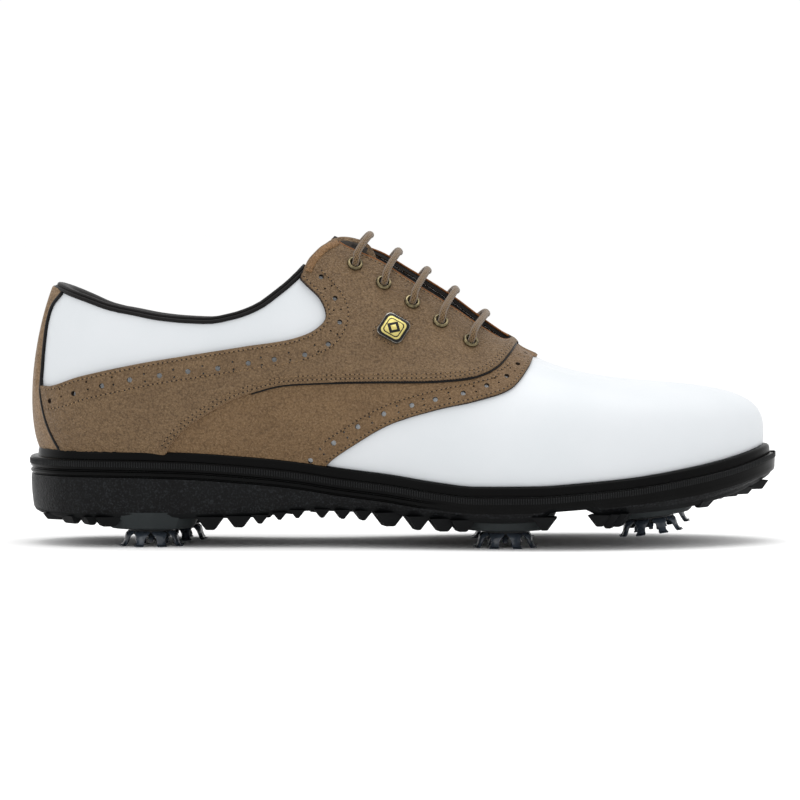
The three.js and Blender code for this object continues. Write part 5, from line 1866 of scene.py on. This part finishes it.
def dress_cad_nodes():
    """The frame's own pieces that stay: what the leather and the sole hide."""
    for name, look in CAD_LOOKS.items():
        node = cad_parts[name]
        for holder in node.material_slots:
            holder.material = look


def build_details():
    lace()
    badge()
    for side in SIDES:
        facing_roll(side)
        for index, place in enumerate(eyelet_places(side), 1):
            eyelet(side, index, place)
    collar_binding()
    lining()
    tongue()
    footbed()
    dress_cad_nodes()


# ---- Stage, light and camera --------------------------------------------------------------------
FIELD = 0.324                    # width of the view at the shoe, in metres
DISTANCE = 2.5
ELEVATION = 2.75                 # degrees
TARGET = metres((149.85, 0, 57.5))
SENSOR = 36.0                    # millimetres
FLOOR = 6.0                      # half the floor's width, in metres
SKY = 1.03


def make_stage():
    scene = bpy.context.scene
    scene.view_settings.view_transform = "Standard"
    world = bpy.data.worlds.new("studio")
    scene.world = world
    world.use_nodes = True
    world.node_tree.nodes["Background"].inputs["Color"].default_value = (1, 1, 1, 1)
    world.node_tree.nodes["Background"].inputs["Strength"].default_value = SKY
    data = bpy.data.meshes.new("floor")
    corners = [(-FLOOR, -FLOOR, 0), (FLOOR, -FLOOR, 0), (FLOOR, FLOOR, 0), (-FLOOR, FLOOR, 0)]
    data.from_pydata(corners, [], [(0, 1, 2, 3)])
    floor = bpy.data.objects.new("floor", data)
    bpy.context.collection.objects.link(floor)
    look = Look("floor", 0.9, Specular_IOR_Level=0.0)
    look.set("Base Color", look.mix(look.noise(2), (0.97, 0.97, 0.97, 1), (0.98, 0.98, 0.98, 1)))
    data.materials.append(look.material)


def area_light(name, place, toward, size, power):
    data = bpy.data.lights.new(name, "AREA")
    data.shape = "RECTANGLE"
    data.size, data.size_y = size
    data.energy = power
    light = bpy.data.objects.new(name, data)
    bpy.context.collection.objects.link(light)
    light.location = place
    light.rotation_euler = (Vector(toward) - Vector(place)).to_track_quat("-Z", "Y").to_euler()


def make_lights():
    area_light("overhead", (0.05, 0.05, 0.95), (0, 0, 0.05), (0.9, 0.7), 5.0)
    area_light("side", (-0.9, -1.0, 0.8), (0, 0, 0.05), (0.6, 0.6), 1.2)


def make_camera():
    data = bpy.data.cameras.new("camera")
    data.sensor_width = SENSOR
    data.lens = SENSOR * DISTANCE / FIELD
    data.clip_start, data.clip_end = 0.05, 50
    camera = bpy.data.objects.new("camera", data)
    bpy.context.collection.objects.link(camera)
    lift = math.radians(ELEVATION)
    camera.location = Vector(TARGET) + Vector((0, -math.cos(lift), math.sin(lift))) * DISTANCE
    camera.rotation_euler = (math.pi / 2 - lift, 0, 0)
    bpy.context.scene.camera = camera


def build_upper():
    heel_strap()
    vamp()
    for side in SIDES:
        upper_saddle(side)
        lower_saddle(side)
        quarter(side)
        stitching(side)
        piping(side)
        facing_bead(side)
        saddle_shadow_line(side)


make_stage()
make_lights()
make_camera()
build_upper()
build_sole()
build_details()
